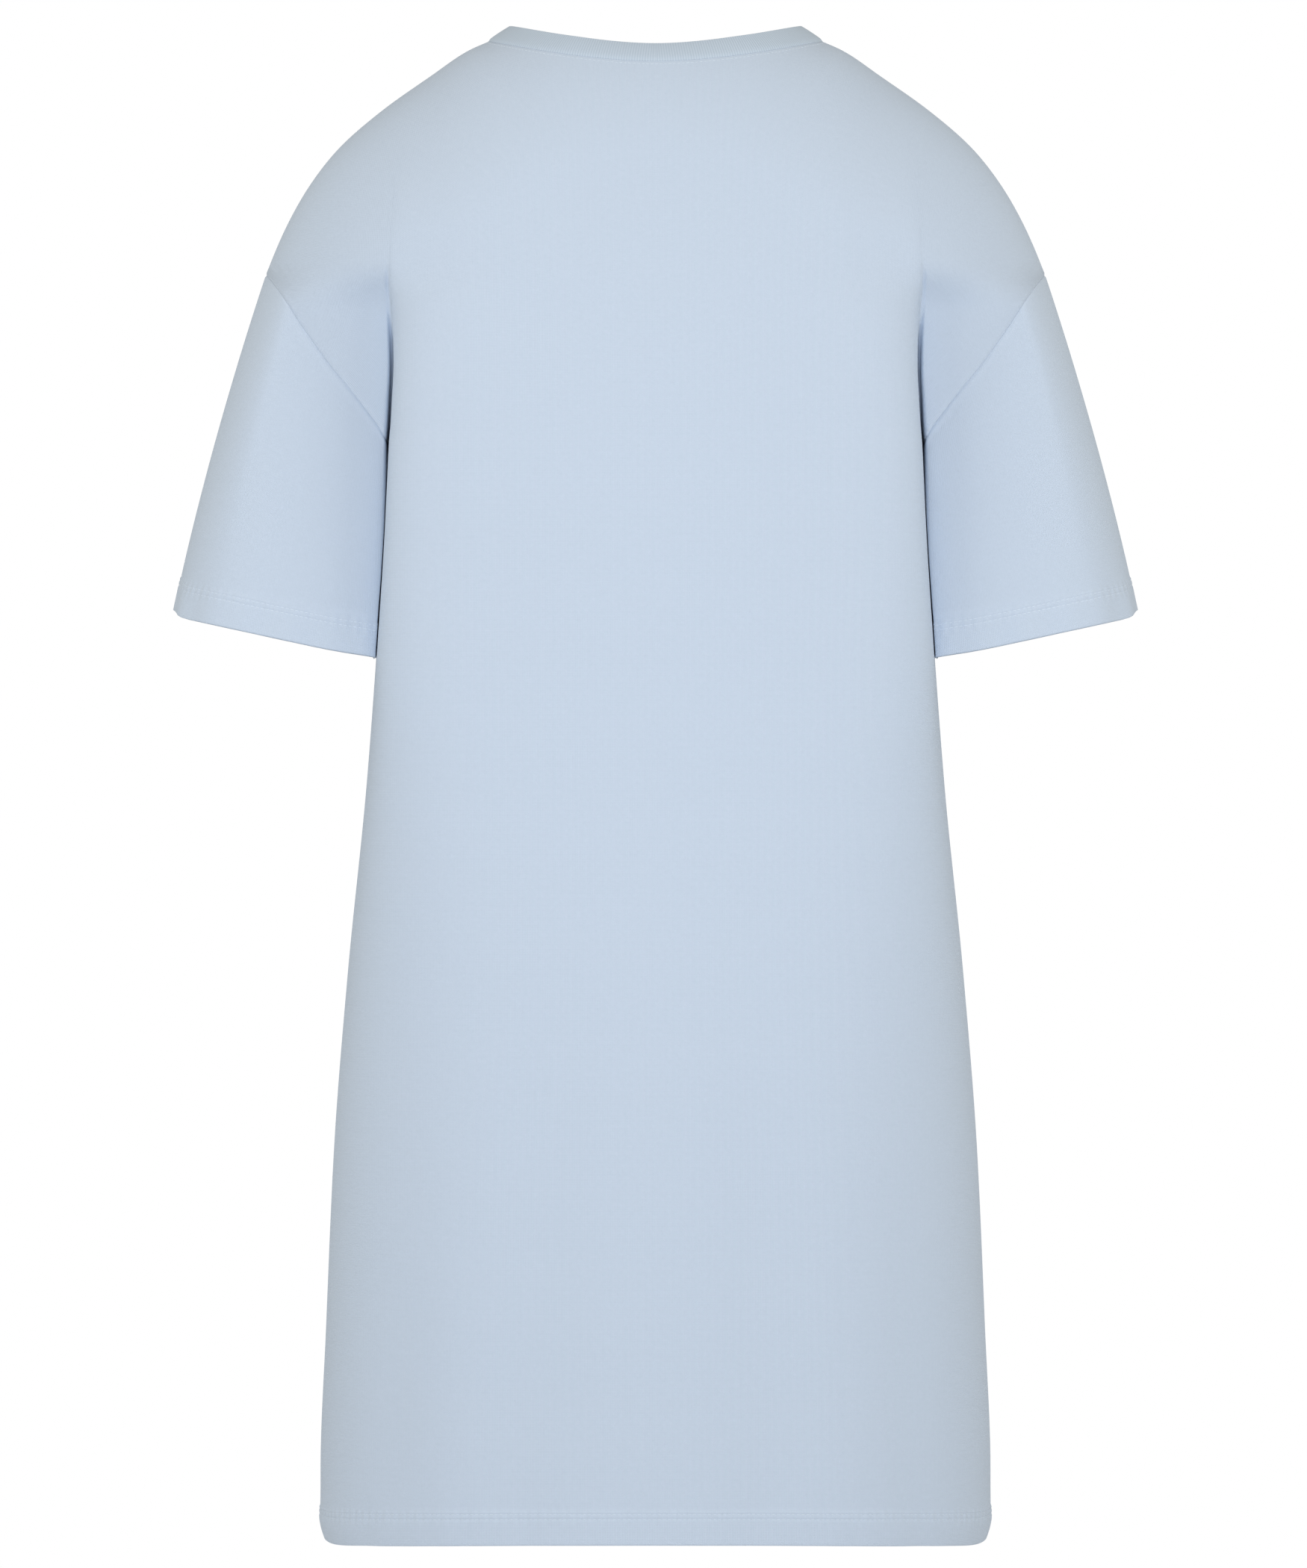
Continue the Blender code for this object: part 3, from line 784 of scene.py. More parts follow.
@dataclass(frozen=True)
class BodyPanel:
    """The back or the front: torso, dropped shoulders, hem and seam edges, cut in one piece."""

    face: Face
    form: BodyForm = field(default_factory=BodyForm)
    grid: ClothGrid = field(default_factory=ClothGrid)
    hem: HemProfile = field(default_factory=HemProfile)
    seam: SeamFinish = field(default_factory=SeamFinish)
    # How far above the hem the side seam's allowance has its full width.
    allowance_fade: float = 0.004
    neck_sink: float = 0.1
    ripple: float = 0.0003
    # The waves end at this many times the height of the hem's last row.
    ripple_top: float = 1.3
    waves: tuple[Wave, ...] = (Wave(0.0091, 0.8, 1.0), Wave(0.0053, 0.0, 0.6), Wave(0.0031, 2.0, 0.5))
    # How many rows below a seam the cloth's slope there is measured.
    rows_for_slope: int = 12
    # How wide the dropped shoulder is where its seam starts to sink in fully.
    full_seam_width: float = 0.012
    cap_steps: tuple[float, ...] = (0.0, 0.015, 0.03, 0.06, 0.12, 0.195, 0.27, 0.375, 0.48, 0.61, 0.74, 0.87, 1.0)
    cap_subdivision: int = 3
    cap_edge: tuple[float, ...] = (0.0040, 0.0026, 0.0016, 0.0009, 0.0004, 0.0)
    cap_edge_share: float = 0.3
    # The even columns end this many edge widths before the seam.
    cap_edge_start: float = 1.4

    def node(self) -> str:
        """Returns the name of the solid that the panel stands for."""
        return self.face.name.lower()

    def name(self) -> str:
        """Returns the piece's name."""
        return self.node() + "_panel"

    def torso_surface(self, side: Side, turns: Array, levels: Array) -> Array:
        """Shapes the torso below the underarm.

        Args:
            side: Which half.
            turns: Turns from the middle of the face, in radians.
            levels: Heights, before the hem's lift.

        Returns:
            The points.
        """
        out, deep = section_point(turns, self.form.section("square", levels))
        x = side.value * out * self.form.section("half_width", levels)
        y = deep * self.form.crowned(out, levels)
        y *= self.form.plateau(levels, self.face) - self.form.drape(x, levels, self.face)
        z = self.form.hem_height(x, levels, self.face)
        return np.stack([x, self.face.value * (y + SEAM_GAP / 2), z], -1)

    def hem_ripple(self, x: Array, up: Array) -> Array:
        """Returns the faint waves that two rows of stitching leave in a hem."""
        return self.ripple * ripples(self.waves, x) * ease(self.ripple_top - np.abs(up) / self.hem.above)

    def lower_grid(self, side: Side) -> Array:
        """Lays out the torso from its hidden hem edge up to the underarm.

        Args:
            side: Which half.

        Returns:
            Rows and columns of points.
        """
        turns = self.grid.turns()
        up, inside = self.hem.rows()
        hem_levels = self.form.torso[0].height + up
        rest = np.linspace(hem_levels[-1], self.form.underarm_height, self.grid.lower_rows + 1)[1:-1]
        levels = np.concatenate([hem_levels, rest])[:, None]
        inside = np.concatenate([inside, 0 * rest])
        points = self.torso_surface(side, turns, levels + 0 * turns)
        round_it = self.torso_surface(side, turns + NUDGE, levels + 0 * turns) - points
        upright = self.torso_surface(side, turns + 0 * levels, levels + NUDGE) - points
        outward = unit(np.cross(round_it, upright)) * side.value * -self.face.value
        height = levels - self.form.torso[0].height
        wave = self.hem_ripple(points[..., 0], height)
        return points - outward * (inside[:, None] + wave)[..., None]

    def upper_grid(self, side: Side) -> Array:
        """Lays out the torso from the underarm to the neck and shoulder seams.

        Args:
            side: Which half.

        Returns:
            Rows and columns of points.
        """
        form, turns, columns = self.form, self.grid.turns(), self.grid.columns()
        neck = form.neck_half_width * np.sin(math.pi / 2 * np.clip(columns / self.grid.neck_columns, 0, 1))
        out_share = (columns - self.grid.neck_columns) / (columns[-1] - self.grid.neck_columns)
        fold_top = form.underarm_fold[-1].half_width
        top_x = neck + np.clip(out_share, 0, 1) * (fold_top - form.neck_half_width)
        at_neck = columns < self.grid.neck_columns
        top_z = np.where(at_neck, form.neck_height(top_x, self.face), form.ridge_height(top_x))
        z = top_z - self.grid.drops()[::-1, None] * (top_z - form.underarm_height)
        edge, square = form.section("half_width", z), form.section("square", z)
        at_edge = form.plateau(z, self.face) * form.crowned(1, z)
        left = read_column(form.underarm_fold, "left", z)
        bottom = np.clip(left * form.open_depth(edge, z, self.face) / at_edge, 0, form.deepest_edge)
        last = np.arctan2(superellipse(bottom, square), bottom)
        out, deep = section_point(form.drawn_in(turns, last), square)
        share = out / superellipse(bottom, square)
        x = edge * share
        x = x + (top_x - x) * ease((z - form.fold_top_height) / (top_z - form.fold_top_height))
        standing = deep * form.crowned(share, z) * form.plateau(z, self.face)
        y = form.above_fold(standing, z, form.open_depth(x, z, self.face))
        y[-1, ~at_neck] = 0
        return placed(side, self.face, x, y, z)

    def cap_grid(self, side: Side, fold_edge: Array) -> Array:
        """Returns the dropped shoulder, from the underarm fold out to the armhole seam.

        Args:
            side: Which shoulder.
            fold_edge: The torso's last column, from the underarm up.

        Returns:
            Rows and columns of points, whose first column is the torso's last.
        """
        form, drops = self.form, self.grid.drops()[::-1]
        inner_x = np.abs(fold_edge[:, 0]) + form.opening(fold_edge[:, 2])
        inner_top = form.ridge_height(inner_x[-1])
        inner = np.stack([inner_x, inner_top - drops * (inner_top - form.underarm_height)], -1)
        outer = np.stack(curve_through(form.armhole, drops, "half_width", "height"), -1)
        across = self.cap_columns(np.linalg.norm(outer - inner, axis=1))[..., None]
        flat = inner[:, None] * (1 - across) + outer[:, None] * across
        line = form.ridge()[0]
        run = np.linspace(0, 1, len(line))
        start, end = (np.interp(point[0], line[:, 0], run) for point in (inner[-1], outer[-1]))
        on_ridge = start + (end - start) * across[..., 0]
        ridge = read_line(line, run, on_ridge)
        straight = inner[-1] * (1 - across) + outer[-1] * across
        flat = flat + ((1 - drops) ** 2)[:, None, None] * (ridge - straight)
        y = form.cap_depth(flat[..., 0], flat[..., 1], self.face)
        y[-1] = 0
        fold_bottom = np.abs(fold_edge[:, 1]) - SEAM_GAP / 2
        y[:, 0] += (fold_bottom - y[:, 0]) * form.fold_started(inner[:, 1])
        points = placed(side, self.face, flat[..., 0], y, flat[..., 1])
        return np.concatenate([fold_edge[:, None], points], axis=1)

    def cap_columns(self, widths: Array) -> Array:
        """Lays out the dropped shoulder's columns, close together at the armhole seam.

        Args:
            widths: Each row's width.

        Returns:
            Each row's shares of its width.
        """
        steps = np.asarray(self.cap_steps)
        places = np.arange((len(steps) - 1) * self.cap_subdivision + 1) / self.cap_subdivision
        fine = np.interp(places, np.arange(len(steps)), steps)
        edge = np.asarray(self.cap_edge)
        widths = np.maximum(widths, WELD)[:, None]
        edge_share = np.minimum(edge[0] / widths, self.cap_edge_share) * edge / edge[0]
        start = 1 - edge_share[:, :1] * self.cap_edge_start
        return np.concatenate([fine * start, 1 - edge_share], axis=1)

    def side_grids(self, side: Side) -> tuple[Array, Array]:
        """Lays out one half of the panel, with its edges finished.

        Args:
            side: Which half.

        Returns:
            The torso's grid, from the middle out, and the dropped shoulder's grid.
        """
        lower, upper = self.lower_grid(side), self.upper_grid(side)
        torso = np.concatenate([lower, upper])
        rows, count = len(torso), len(lower)
        v = run_along(torso[:, 0], 0)[:, None]
        torso = with_uv(torso, side.value * run_along(torso, 1), v - v[self.hem.row_at(0.0)])
        cap = self.cap_grid(side, upper[:, -1])
        cap = with_uv(cap, torso[count:, -1:, 3] + side.value * run_along(cap, 1), torso[count:, :1, 4])
        up, inside = self.hem.rows()
        above_hem = np.concatenate([up, np.full(rows - len(up), self.hem.depth * 2)])
        shown = np.concatenate([inside < self.hem.fold_radius, np.full(rows - len(up), True)])
        shown = (shown & (np.arange(rows) < count)).astype(float)
        in_hem = self.seam.share_in_hem
        reach = in_hem + (1 - in_hem) * ease((above_hem - self.hem.depth) / self.allowance_fade)
        side_inward = np.tile([-side.value, 0.0, 0.0], (rows, 1))
        torso = self.seam.finish_last_column(torso, side_inward, shown, reach * shown)
        seam_line = cap[:, -1, :3]
        inward = inward_of_ring(seam_line, armhole_centre(self.form, side))
        strength = ease(np.linalg.norm(seam_line - cap[:, 0, :3], axis=1) / self.full_seam_width)
        cap = self.seam.finish_last_column(cap, inward, strength, strength)
        return self.finish_top(torso), self.finish_top(cap)

    def build(self) -> tuple[bpy.types.Object, Array]:
        """Makes the panel.

        Returns:
            The piece, and its grid of hem rows for the stitching.
        """
        halves = {side: self.side_grids(side) for side in Side}
        whole = np.concatenate([halves[Side.RIGHT][0][:, :0:-1], halves[Side.LEFT][0]], axis=1)
        turned = len(self.seam.allowance)
        hem_grid = whole[: len(self.hem.rows()[0]), turned:-turned]
        parts = [grid_of_cloth(self.name(), whole[:, :: -self.face.value])]
        for side, (_, cap) in halves.items():
            way_out = -side.value * self.face.value
            parts.append(grid_of_cloth(f"{self.name()}_{side.name}", cap[:, ::way_out]))
        piece = joined(self.name(), parts)
        thicken(piece, CLOTH_WALL)
        return piece, hem_grid

    def finish_top(self, part: Array) -> Array:
        """Sinks the cloth in along the neck and shoulder seams, and turns its edge inside.

        Args:
            part: The grid, whose last row is the seam and last columns are turned inside.

        Returns:
            The grid with the rows of its allowance.
        """
        hidden = len(self.seam.allowance)
        columns = part.shape[1] - hidden
        place = part[:, :columns, :3]
        top = place[-1]
        along = np.gradient(top, axis=0)
        surface = np.cross(along, place[-self.rows_for_slope] - top)
        surface *= np.sign(surface[:, 1:2]) * self.face.value
        over_ridge = np.stack([-along[:, 2], 0 * along[:, 0], along[:, 0]], -1)
        over_ridge *= np.sign(over_ridge[:, 2:])
        at_ridge = np.abs(top[:, :1]) >= self.form.neck_half_width - WELD
        inward = -unit(np.where(at_ridge, over_ridge, surface))
        strength = np.where(at_ridge[:, 0], 1.0, self.neck_sink)
        inward = np.concatenate([inward, np.repeat(inward[-1:], hidden, axis=0)])
        strength = np.concatenate([strength, np.repeat(strength[-1:], hidden)])
        full = np.ones(part.shape[1])
        return swapped(self.seam.finish_last_column(swapped(part), inward, strength, full))


def armhole_centre(form: BodyForm, side: Side) -> Array:
    """Finds the middle of an armhole.

    Args:
        form: The worn form.
        side: Which armhole.

    Returns:
        The point.
    """
    tip, underarm = form.armhole[0], form.armhole[-1]
    return np.array([
        side.value * (tip.half_width + underarm.half_width) / 2, 0.0, (tip.height + underarm.height) / 2
    ])


def inward_of_ring(points: Array, centre: Array) -> Array:
    """Finds the way from each point of a ring towards its middle, square to the ring.

    Args:
        points: The ring's points, in order.
        centre: The ring's middle.

    Returns:
        Directions of length 1.
    """
    along = unit(np.gradient(points, axis=0))
    way = centre - points
    return unit(way - (way * along).sum(-1, keepdims=True) * along)


@dataclass(frozen=True)
class Sleeve:
    """A sleeve: a tube from the armhole seam to a turned-up cuff, closed by a seam underneath."""

    side: Side
    form: BodyForm = field(default_factory=BodyForm)
    hem: HemProfile = field(default_factory=HemProfile)
    seam: SeamFinish = field(default_factory=SeamFinish)
    cuff_outer: tuple[float, float] = (0.2912, -0.3443)
    cuff_inner: tuple[float, float] = (0.1500, -0.3750)
    cuff_half_depth: float = 0.0600
    cuff_backward: float = 0.0050
    cuff_outer_square: float = 2.2
    cuff_inner_square: float = 4.6
    bulge: float = 0.0030
    half_columns: int = 120
    # Powers that crowd the ring's points at the shoulder and at the underarm.
    drop_powers: tuple[float, float] = (1.6, 1.3)
    long_rows: int = 40
    seam_rows: tuple[float, ...] = (0.0, 0.0004, 0.0009, 0.0016, 0.0026, 0.0040, 0.0062)
    ripple: float = 0.0005
    ripple_top: float = 1.2
    waves: tuple[Wave, ...] = (Wave(0.0067, 0.0, 1.0), Wave(0.0041, 1.0, 0.7))
    clearance: float = 0.0001
    edge_gap: float = 0.0009
    seam_sink: float = 0.25
    press_start: float = 0.030
    press_softness: float = 0.0004
    underarm_reach: float = 0.0140
    inner_lift: float = 0.0015
    inner_lift_reach: float = 0.0200
    outer_lift: float = 0.0034
    outer_lift_reach: float = 0.0040

    def node(self) -> str:
        """Returns the name of the solid that the sleeve stands for."""
        return "sleeve_" + self.side.name.lower()

    def name(self) -> str:
        """Returns the piece's name."""
        return self.node() + "_shell"

    def armhole_line(self, face: Face, drops: Array) -> Array:
        """Draws the armhole seam on one face.

        Args:
            face: The back or the front.
            drops: Shares of the way down from the shoulder.

        Returns:
            The points.
        """
        x, z = curve_through(self.form.armhole, drops, "half_width", "height")
        y = np.where(drops > 0, self.form.cap_depth(x, z, face), 0.0)
        return placed(self.side, face, x, y, z)

    def cuff_line(self, turns: Array) -> Array:
        """Draws the sleeve's open end.

        Args:
            turns: Turns round it from its outer corner, in radians.

        Returns:
            The points.
        """
        outer, inner = np.asarray(self.cuff_outer), np.asarray(self.cuff_inner)
        middle, reach = (outer + inner) / 2, (outer - inner) / 2
        inner_share = (1 - np.cos(turns)) / 2
        square = self.cuff_outer_square + (self.cuff_inner_square - self.cuff_outer_square) * inner_share
        sideways, across = section_point(turns, square)
        along = across[:, None] * reach + middle
        y = self.cuff_half_depth * sideways + self.cuff_backward
        return np.stack([self.side.value * along[:, 0], y, along[:, 1]], -1)

    def rings(self) -> tuple[Array, Array, Array]:
        """Draws the sleeve's two ends, from the underarm round.

        Returns:
            The armhole's ring, the cuff's ring and the turns of both.
        """
        at_shoulder, at_underarm = self.drop_powers
        drops = 1 - (1 - np.linspace(0, 1, self.half_columns + 1) ** at_shoulder) ** at_underarm
        halves, turns = [], []
        for face in Face:
            line = self.armhole_line(face, drops)
            run = run_along(line, 0)
            turns.append(face.value * math.pi * run / run[-1])
            halves.append(line)
        ring = np.concatenate([halves[0][::-1], halves[1][1:]])
        turn = np.concatenate([turns[0][::-1], turns[1][1:]])
        near = np.exp(-((np.linalg.norm(ring - ring[0], axis=1) / self.underarm_reach) ** 2))
        gap = self.form.armhole[-1].half_width - self.form.torso[-1].half_width - self.clearance
        ring[:, 0] -= self.side.value * gap * near
        ring[:, 2] -= WELD * near
        cuff = self.cuff_line(turn)
        wall = read_column(self.form.torso, "half_width", self.cuff_inner[1])
        out = self.side.value * cuff[:, 0]
        lift = self.inner_lift * np.exp(-((np.clip(out - wall, 0, None) / self.inner_lift_reach) ** 2))
        lift += self.outer_lift * np.exp(-(((out.max() - out) / self.outer_lift_reach) ** 2))
        cuff += unit(ring - cuff) * lift[:, None]
        return ring, cuff, turn

    def against_body(self, points: Array, down: Array) -> Array:
        """Presses the sleeve flat where it hangs against the side of the body.

        Args:
            points: Points of the sleeve.
            down: How far each one lies from the armhole seam, as a share of the way to the cuff.

        Returns:
            The points' new places.
        """
        out, y, z = self.side.value * points[..., 0], points[..., 1], points[..., 2]
        form = self.form
        depth = np.where(y > 0, *(form.plateau(z, face) for face in Face)) * form.crowned(1, z)
        body = form.section("half_width", z) * superellipse(y / depth, form.section("square", z)) + self.clearance
        body += self.edge_gap * down * (y / form.arm_depth) ** 2
        below = ease((form.underarm_height - z) / self.press_start)
        pressed = (out + body + np.hypot(out - body, self.press_softness * below)) / 2
        made = points.copy()
        push = (pressed - out) * (below > 0)
        made[..., 0] += self.side.value * push
        slope = (self.cuff_outer[1] - self.cuff_inner[1]) / (self.cuff_outer[0] - self.cuff_inner[0])
        made[..., 2] += slope * push * down
        return made

    def build(self) -> tuple[bpy.types.Object, Array]:
        """Makes the sleeve.

        Returns:
            The piece, and its grid of hem rows for the stitching.
        """
        ring, cuff, turn = self.rings()
        length = np.linalg.norm(cuff - ring, axis=1)
        along = unit(cuff - ring)
        up, inside = self.hem.rows()
        top = np.asarray(self.seam_rows)[:, None] + 0 * length
        low = length - up[::-1, None]
        share = np.linspace(0, 1, self.long_rows + 2)[1:-1, None]
        down = np.concatenate([top, top[-1] + (low[0] - top[-1]) * share, low])
        inside = np.concatenate([np.zeros(len(down) - len(up)), inside[::-1]])
        points = ring + along * down[..., None]
        points[..., 0] += self.side.value * self.bulge * arch(down / length) * (1 + np.cos(turn)) / 2
        points = self.against_body(points, down / length)
        outward = unit(np.cross(unit(np.gradient(cuff, axis=0)), along))
        outward *= np.sign((outward * (cuff - cuff.mean(axis=0))).sum(-1).mean())
        wave = self.ripple * ripples(self.waves, run_along(cuff, 0))
        fading = ease(self.ripple_top - (length - down) / self.hem.above)
        points -= outward * (inside[:, None] + wave * fading)[..., None]
        v = run_along(points[:, len(turn) // 2], 0)
        v = (v[len(down) - 1 - self.hem.row_at(0.0)] - v)[:, None]
        grid = with_uv(points, run_along(points[len(self.seam_rows)], 0) + 0 * down, v)
        shown = (inside < self.hem.fold_radius).astype(float)
        reach = shown * np.where(np.arange(len(down)) > len(down) - len(up), self.seam.share_in_hem, 1.0)
        centre = (points[:, 0] + points[:, len(turn) // 2]) / 2
        for _ in range(2):
            inward = unit(centre - grid[:, -1, :3])
            grid = self.seam.finish_last_column(grid, inward, shown * self.seam_sink, reach)[:, ::-1]
        hem_grid = grid[-len(up):][::-1]
        turned = len(self.seam.allowance)
        edge = grid[0, turned:-turned, :3]
        inward = inward_of_ring(edge, armhole_centre(self.form, self.side))
        inward = np.concatenate([np.repeat(inward[:1], turned, 0), inward, np.repeat(inward[-1:], turned, 0)])
        full = np.ones(grid.shape[1])
        grid = swapped(self.seam.finish_last_column(swapped(grid[::-1]), inward, full, full))[::-1]
        if self.winding(grid) < 0:
            grid = grid[:, ::-1]
        piece = grid_of_cloth(self.name(), grid)
        thicken(piece, CLOTH_WALL)
        return piece, hem_grid

    def winding(self, grid: Array) -> float:
        """Tests which way the faces point.

        Args:
            grid: The sleeve's grid.

        Returns:
            A positive number if they point out of the sleeve.
        """
        row, column = len(grid) // 2, grid.shape[1] // 4
        here = grid[row, column, :3]
        across = grid[row, column + 1, :3] - here
        along = grid[row + 1, column, :3] - here
        away = here - grid[row, :, :3].mean(axis=0)
        return float(np.dot(np.cross(across, along), away))


@dataclass(frozen=True)
class Neckband:
    """A strip of rib folded double, which leans in towards the neck from its seam."""

    form: BodyForm = field(default_factory=BodyForm)
    width: float = 0.0163
    half_thickness: float = 0.0008
    fold_rows: int = 9
    roll: float = 0.0008
    side_lean: float = 0.25
    side_flare: float = 0.0006
    welt: float = 0.0007
    welt_width: float = 0.0022
    rises: tuple[float, ...] = (0.0, 0.0005, 0.0012, 0.0024, 0.0045, 0.0070, 0.0095, 0.0120, 0.0140)
    quarter_columns: int = 44
    name: str = "neckband_rib"

    def ring(self) -> Array:
        """Draws the seam between body and band.

        Returns:
            Its points, once round from the middle of the back.
        """
        steps = np.arange(self.quarter_columns + 1) / self.quarter_columns
        quarter = self.form.neck_half_width * np.sin(math.pi / 2 * steps)
        halves = []
        for face in Face:
            z = self.form.neck_height(quarter, face)
            y = self.form.open_depth(quarter, z, face)
            y[-1] = 0
            halves.append(np.stack([quarter, face.value * y, z], -1))
        plus = np.concatenate([halves[0], halves[1][-2::-1]])
        return np.concatenate([plus, plus[-2:0:-1] * (-1, 1, 1)])

    def directions(self, ring: Array) -> tuple[Array, Array]:
        """Finds how the band stands at each point of its seam.

        Args:
            ring: The seam's points.

        Returns:
            The ways along its width, and the ways out of its face.
        """
        tangent = unit(np.roll(ring, -1, axis=0) - np.roll(ring, 1, axis=0))
        inward = unit(-ring * (1, 1, 0))
        rise = 1 - self.side_lean * inward[:, 0] ** 2
        lean = inward + rise[:, None] * (0, 0, 1)
        lean = unit(lean - (lean * tangent).sum(1, keepdims=True) * tangent)
        outward = np.cross(lean, tangent)
        return lean, outward * np.sign((outward * -inward).sum(1, keepdims=True))

    def profile(self) -> tuple[Array, Array]:
        """Draws the closed outline of the folded band.

        Returns:
            How far each point rises from the seam, and how far out it lies.
        """
        radius, top = self.half_thickness, self.width - self.half_thickness
        rises, turn = np.array(self.rises), np.linspace(0, math.pi, self.fold_rows)
        outer = self.roll * arch(rises / top) + self.welt * ease(rises / self.welt_width) * (1 - rises / top)
        back = rises[:0:-2]
        rise = np.concatenate([rises, top + radius * np.sin(turn), back])
        out = np.concatenate([outer, radius * (np.cos(turn) - 1), 0 * back - 2 * radius])
        return rise, out

    def build(self) -> bpy.types.Object:
        """Makes the band.

        Returns:
            The piece.
        """
        ring = self.ring()
        lean, outward = self.directions(ring)
        rise, out = self.profile()
        rows = []
        sideways = unit(ring * (1, 1, 0))[:, :1] ** 2
        for up, away in zip(np.append(rise, rise[0]), np.append(out, out[0])):
            hollow = self.side_flare * sideways * arch(min(up / self.width, 1.0))
            row = ring + lean * up + outward * (away - hollow)
            rows.append(np.concatenate([row, row[:1]]))
        points = np.array(rows)
        u = run_along(np.concatenate([ring, ring[:1]]), 0) + 0 * points[..., 0]
        grid = with_uv(points, u, run_along(points[:, 0], 0)[:, None])
        corner = points[len(self.rises) // 2, 0]
        beside, above = points[len(self.rises) // 2, 1], points[len(self.rises) // 2 + 1, 0]
        if np.dot(np.cross(beside - corner, above - corner), outward[0]) < 0:
            grid = grid[:, ::-1]
        piece = joined(self.name, [grid_of_cloth(self.name, grid)])
        select_only(piece)
        bpy.ops.object.shade_smooth()
        return piece


@dataclass(frozen=True)
class NeckTopstitch:
    """The row of stitches that holds the neck seam's allowance down to the body."""

    form: BodyForm = field(default_factory=BodyForm)
    below_seam: float = 0.0020
    samples: int = 161
    end_share: float = 0.985

    def line(self, face: Face) -> tuple[Array, Array]:
        """Draws the line of stitches on one face.

        Args:
            face: The back or the front.

        Returns:
            Its points, and the cloth's outward way at each.
        """
        form = self.form
        x = form.neck_half_width * self.end_share * np.sin(np.linspace(-1, 1, self.samples) * math.pi / 2)
        seam = form.neck_height(x, face)
        depth = form.open_depth(x, seam, face)
        along = unit(np.gradient(np.stack([x, depth, seam], -1), axis=0))
        fall = (depth - form.open_depth(x, seam - NUDGE, face)) / NUDGE
        down = unit(np.stack([0 * x, -fall, 0 * x - 1], -1))
        down = unit(down - (down * along).sum(-1, keepdims=True) * along)
        place = np.stack([x, depth, seam], -1) + down * self.below_seam
        place[:, 1] = form.open_depth(place[:, 0], place[:, 2], face)
        outward = unit(np.cross(down, along))
        outward *= np.sign(outward[:, 1:2])
        return place * (1, face.value, 1), outward * (1, face.value, 1)


@dataclass(frozen=True)
class Stitching:
    """Rows of lockstitch: one stitch is modelled, and copied along a line of cloth."""

    pitch: float = 0.0030
    length: float = 0.0025
    width: float = 0.00042
    height: float = 0.00030
    sunk: float = 0.00004

    def one_stitch(self) -> bpy.types.Mesh:
        """Models one stitch: a lens of thread, pressed into the cloth.

        Returns:
            Its mesh.
        """
        deselect_all()
        bpy.ops.mesh.primitive_uv_sphere_add(segments=6, ring_count=4, radius=0.5)
        bpy.ops.object.mode_set(mode="EDIT")
        bpy.ops.mesh.select_all(action="SELECT")
        bpy.ops.transform.rotate(value=math.pi / 2, orient_axis="Y", center_override=(0, 0, 0))
        bpy.ops.transform.resize(value=(self.length, self.width, self.height), center_override=(0, 0, 0))
        bpy.ops.object.mode_set(mode="OBJECT")
        made = bpy.context.object
        mesh = made.data
        bpy.data.objects.remove(made)
        return mesh

    def along(self, line: Array, outward: Array) -> tuple[Array, Array, Array]:
        """Places stitches along a line of cloth.

        Args:
            line: Points of the needle line.
            outward: The cloth's outward way at each point.

        Returns:
            Each stitch's middle, its direction and its outward way.
        """
        run = run_along(line, 0)
        at = np.arange(self.pitch / 2, run[-1], self.pitch)
        behind, middle, ahead = (read_line(line, run, at + shift * self.pitch / 4) for shift in (-1, 0, 1))
        out = unit(read_line(outward, run, at))
        return middle - out * self.sunk, unit(ahead - behind), out

    def build(self, name: str, lines: list[tuple[Array, Array]]) -> bpy.types.Object:
        """Makes one piece of all the stitches along some lines.

        Args:
            name: The piece's name.
            lines: Pairs of needle line and outward ways.

        Returns:
            The piece.
        """
        mesh = self.one_stitch()
        corners = np.empty(len(mesh.vertices) * 3, np.float32)
        mesh.vertices.foreach_get("co", corners)
        corners = corners.reshape(-1, 3)
        faces = [tuple(face.vertices) for face in mesh.polygons]
        bpy.data.meshes.remove(mesh)
        points, all_faces, count = [], [], 0
        for line, outward in lines:
            for middle, ahead, out in zip(*self.along(line, outward)):
                axes = np.stack([ahead, np.cross(out, ahead), out])
                points.append(corners @ axes + middle)
                all_faces += [tuple(i + count for i in face) for face in faces]
                count += len(corners)
        made = bpy.data.meshes.new(name)
        made.from_pydata(np.concatenate(points).tolist(), [], all_faces)
        made.shade_smooth()
        piece = bpy.data.objects.new(name, made)
        bpy.context.scene.collection.objects.link(piece)
        return piece


def linear_colour(code: str) -> tuple[float, float, float, float]:
    """Turns an sRGB hex value into Blender's linear colour.

    Args:
        code: The value, such as #ffffff.

    Returns:
        Red, green, blue and an alpha of 1.
    """
    values = [int(code[i : i + 2], 16) / 255 for i in (1, 3, 5)]
    red, green, blue = (v / 12.92 if v <= 0.04045 else ((v + 0.055) / 1.055) ** 2.4 for v in values)
    return red, green, blue, 1.0


def add_node(tree: bpy.types.NodeTree, kind: str, settings: dict | None = None, **inputs) -> bpy.types.Node:
    """Adds a shader node.

    Args:
        tree: The material's nodes.
        kind: The node's type.
        settings: Properties of the node, by name.
        inputs: Values or output sockets for its inputs, by name, or i and a number.

    Returns:
        The node.
    """
    node = tree.nodes.new(kind)
    for name, value in (settings or {}).items():
        setattr(node, name, value)
    set_inputs(node, **inputs)
    return node


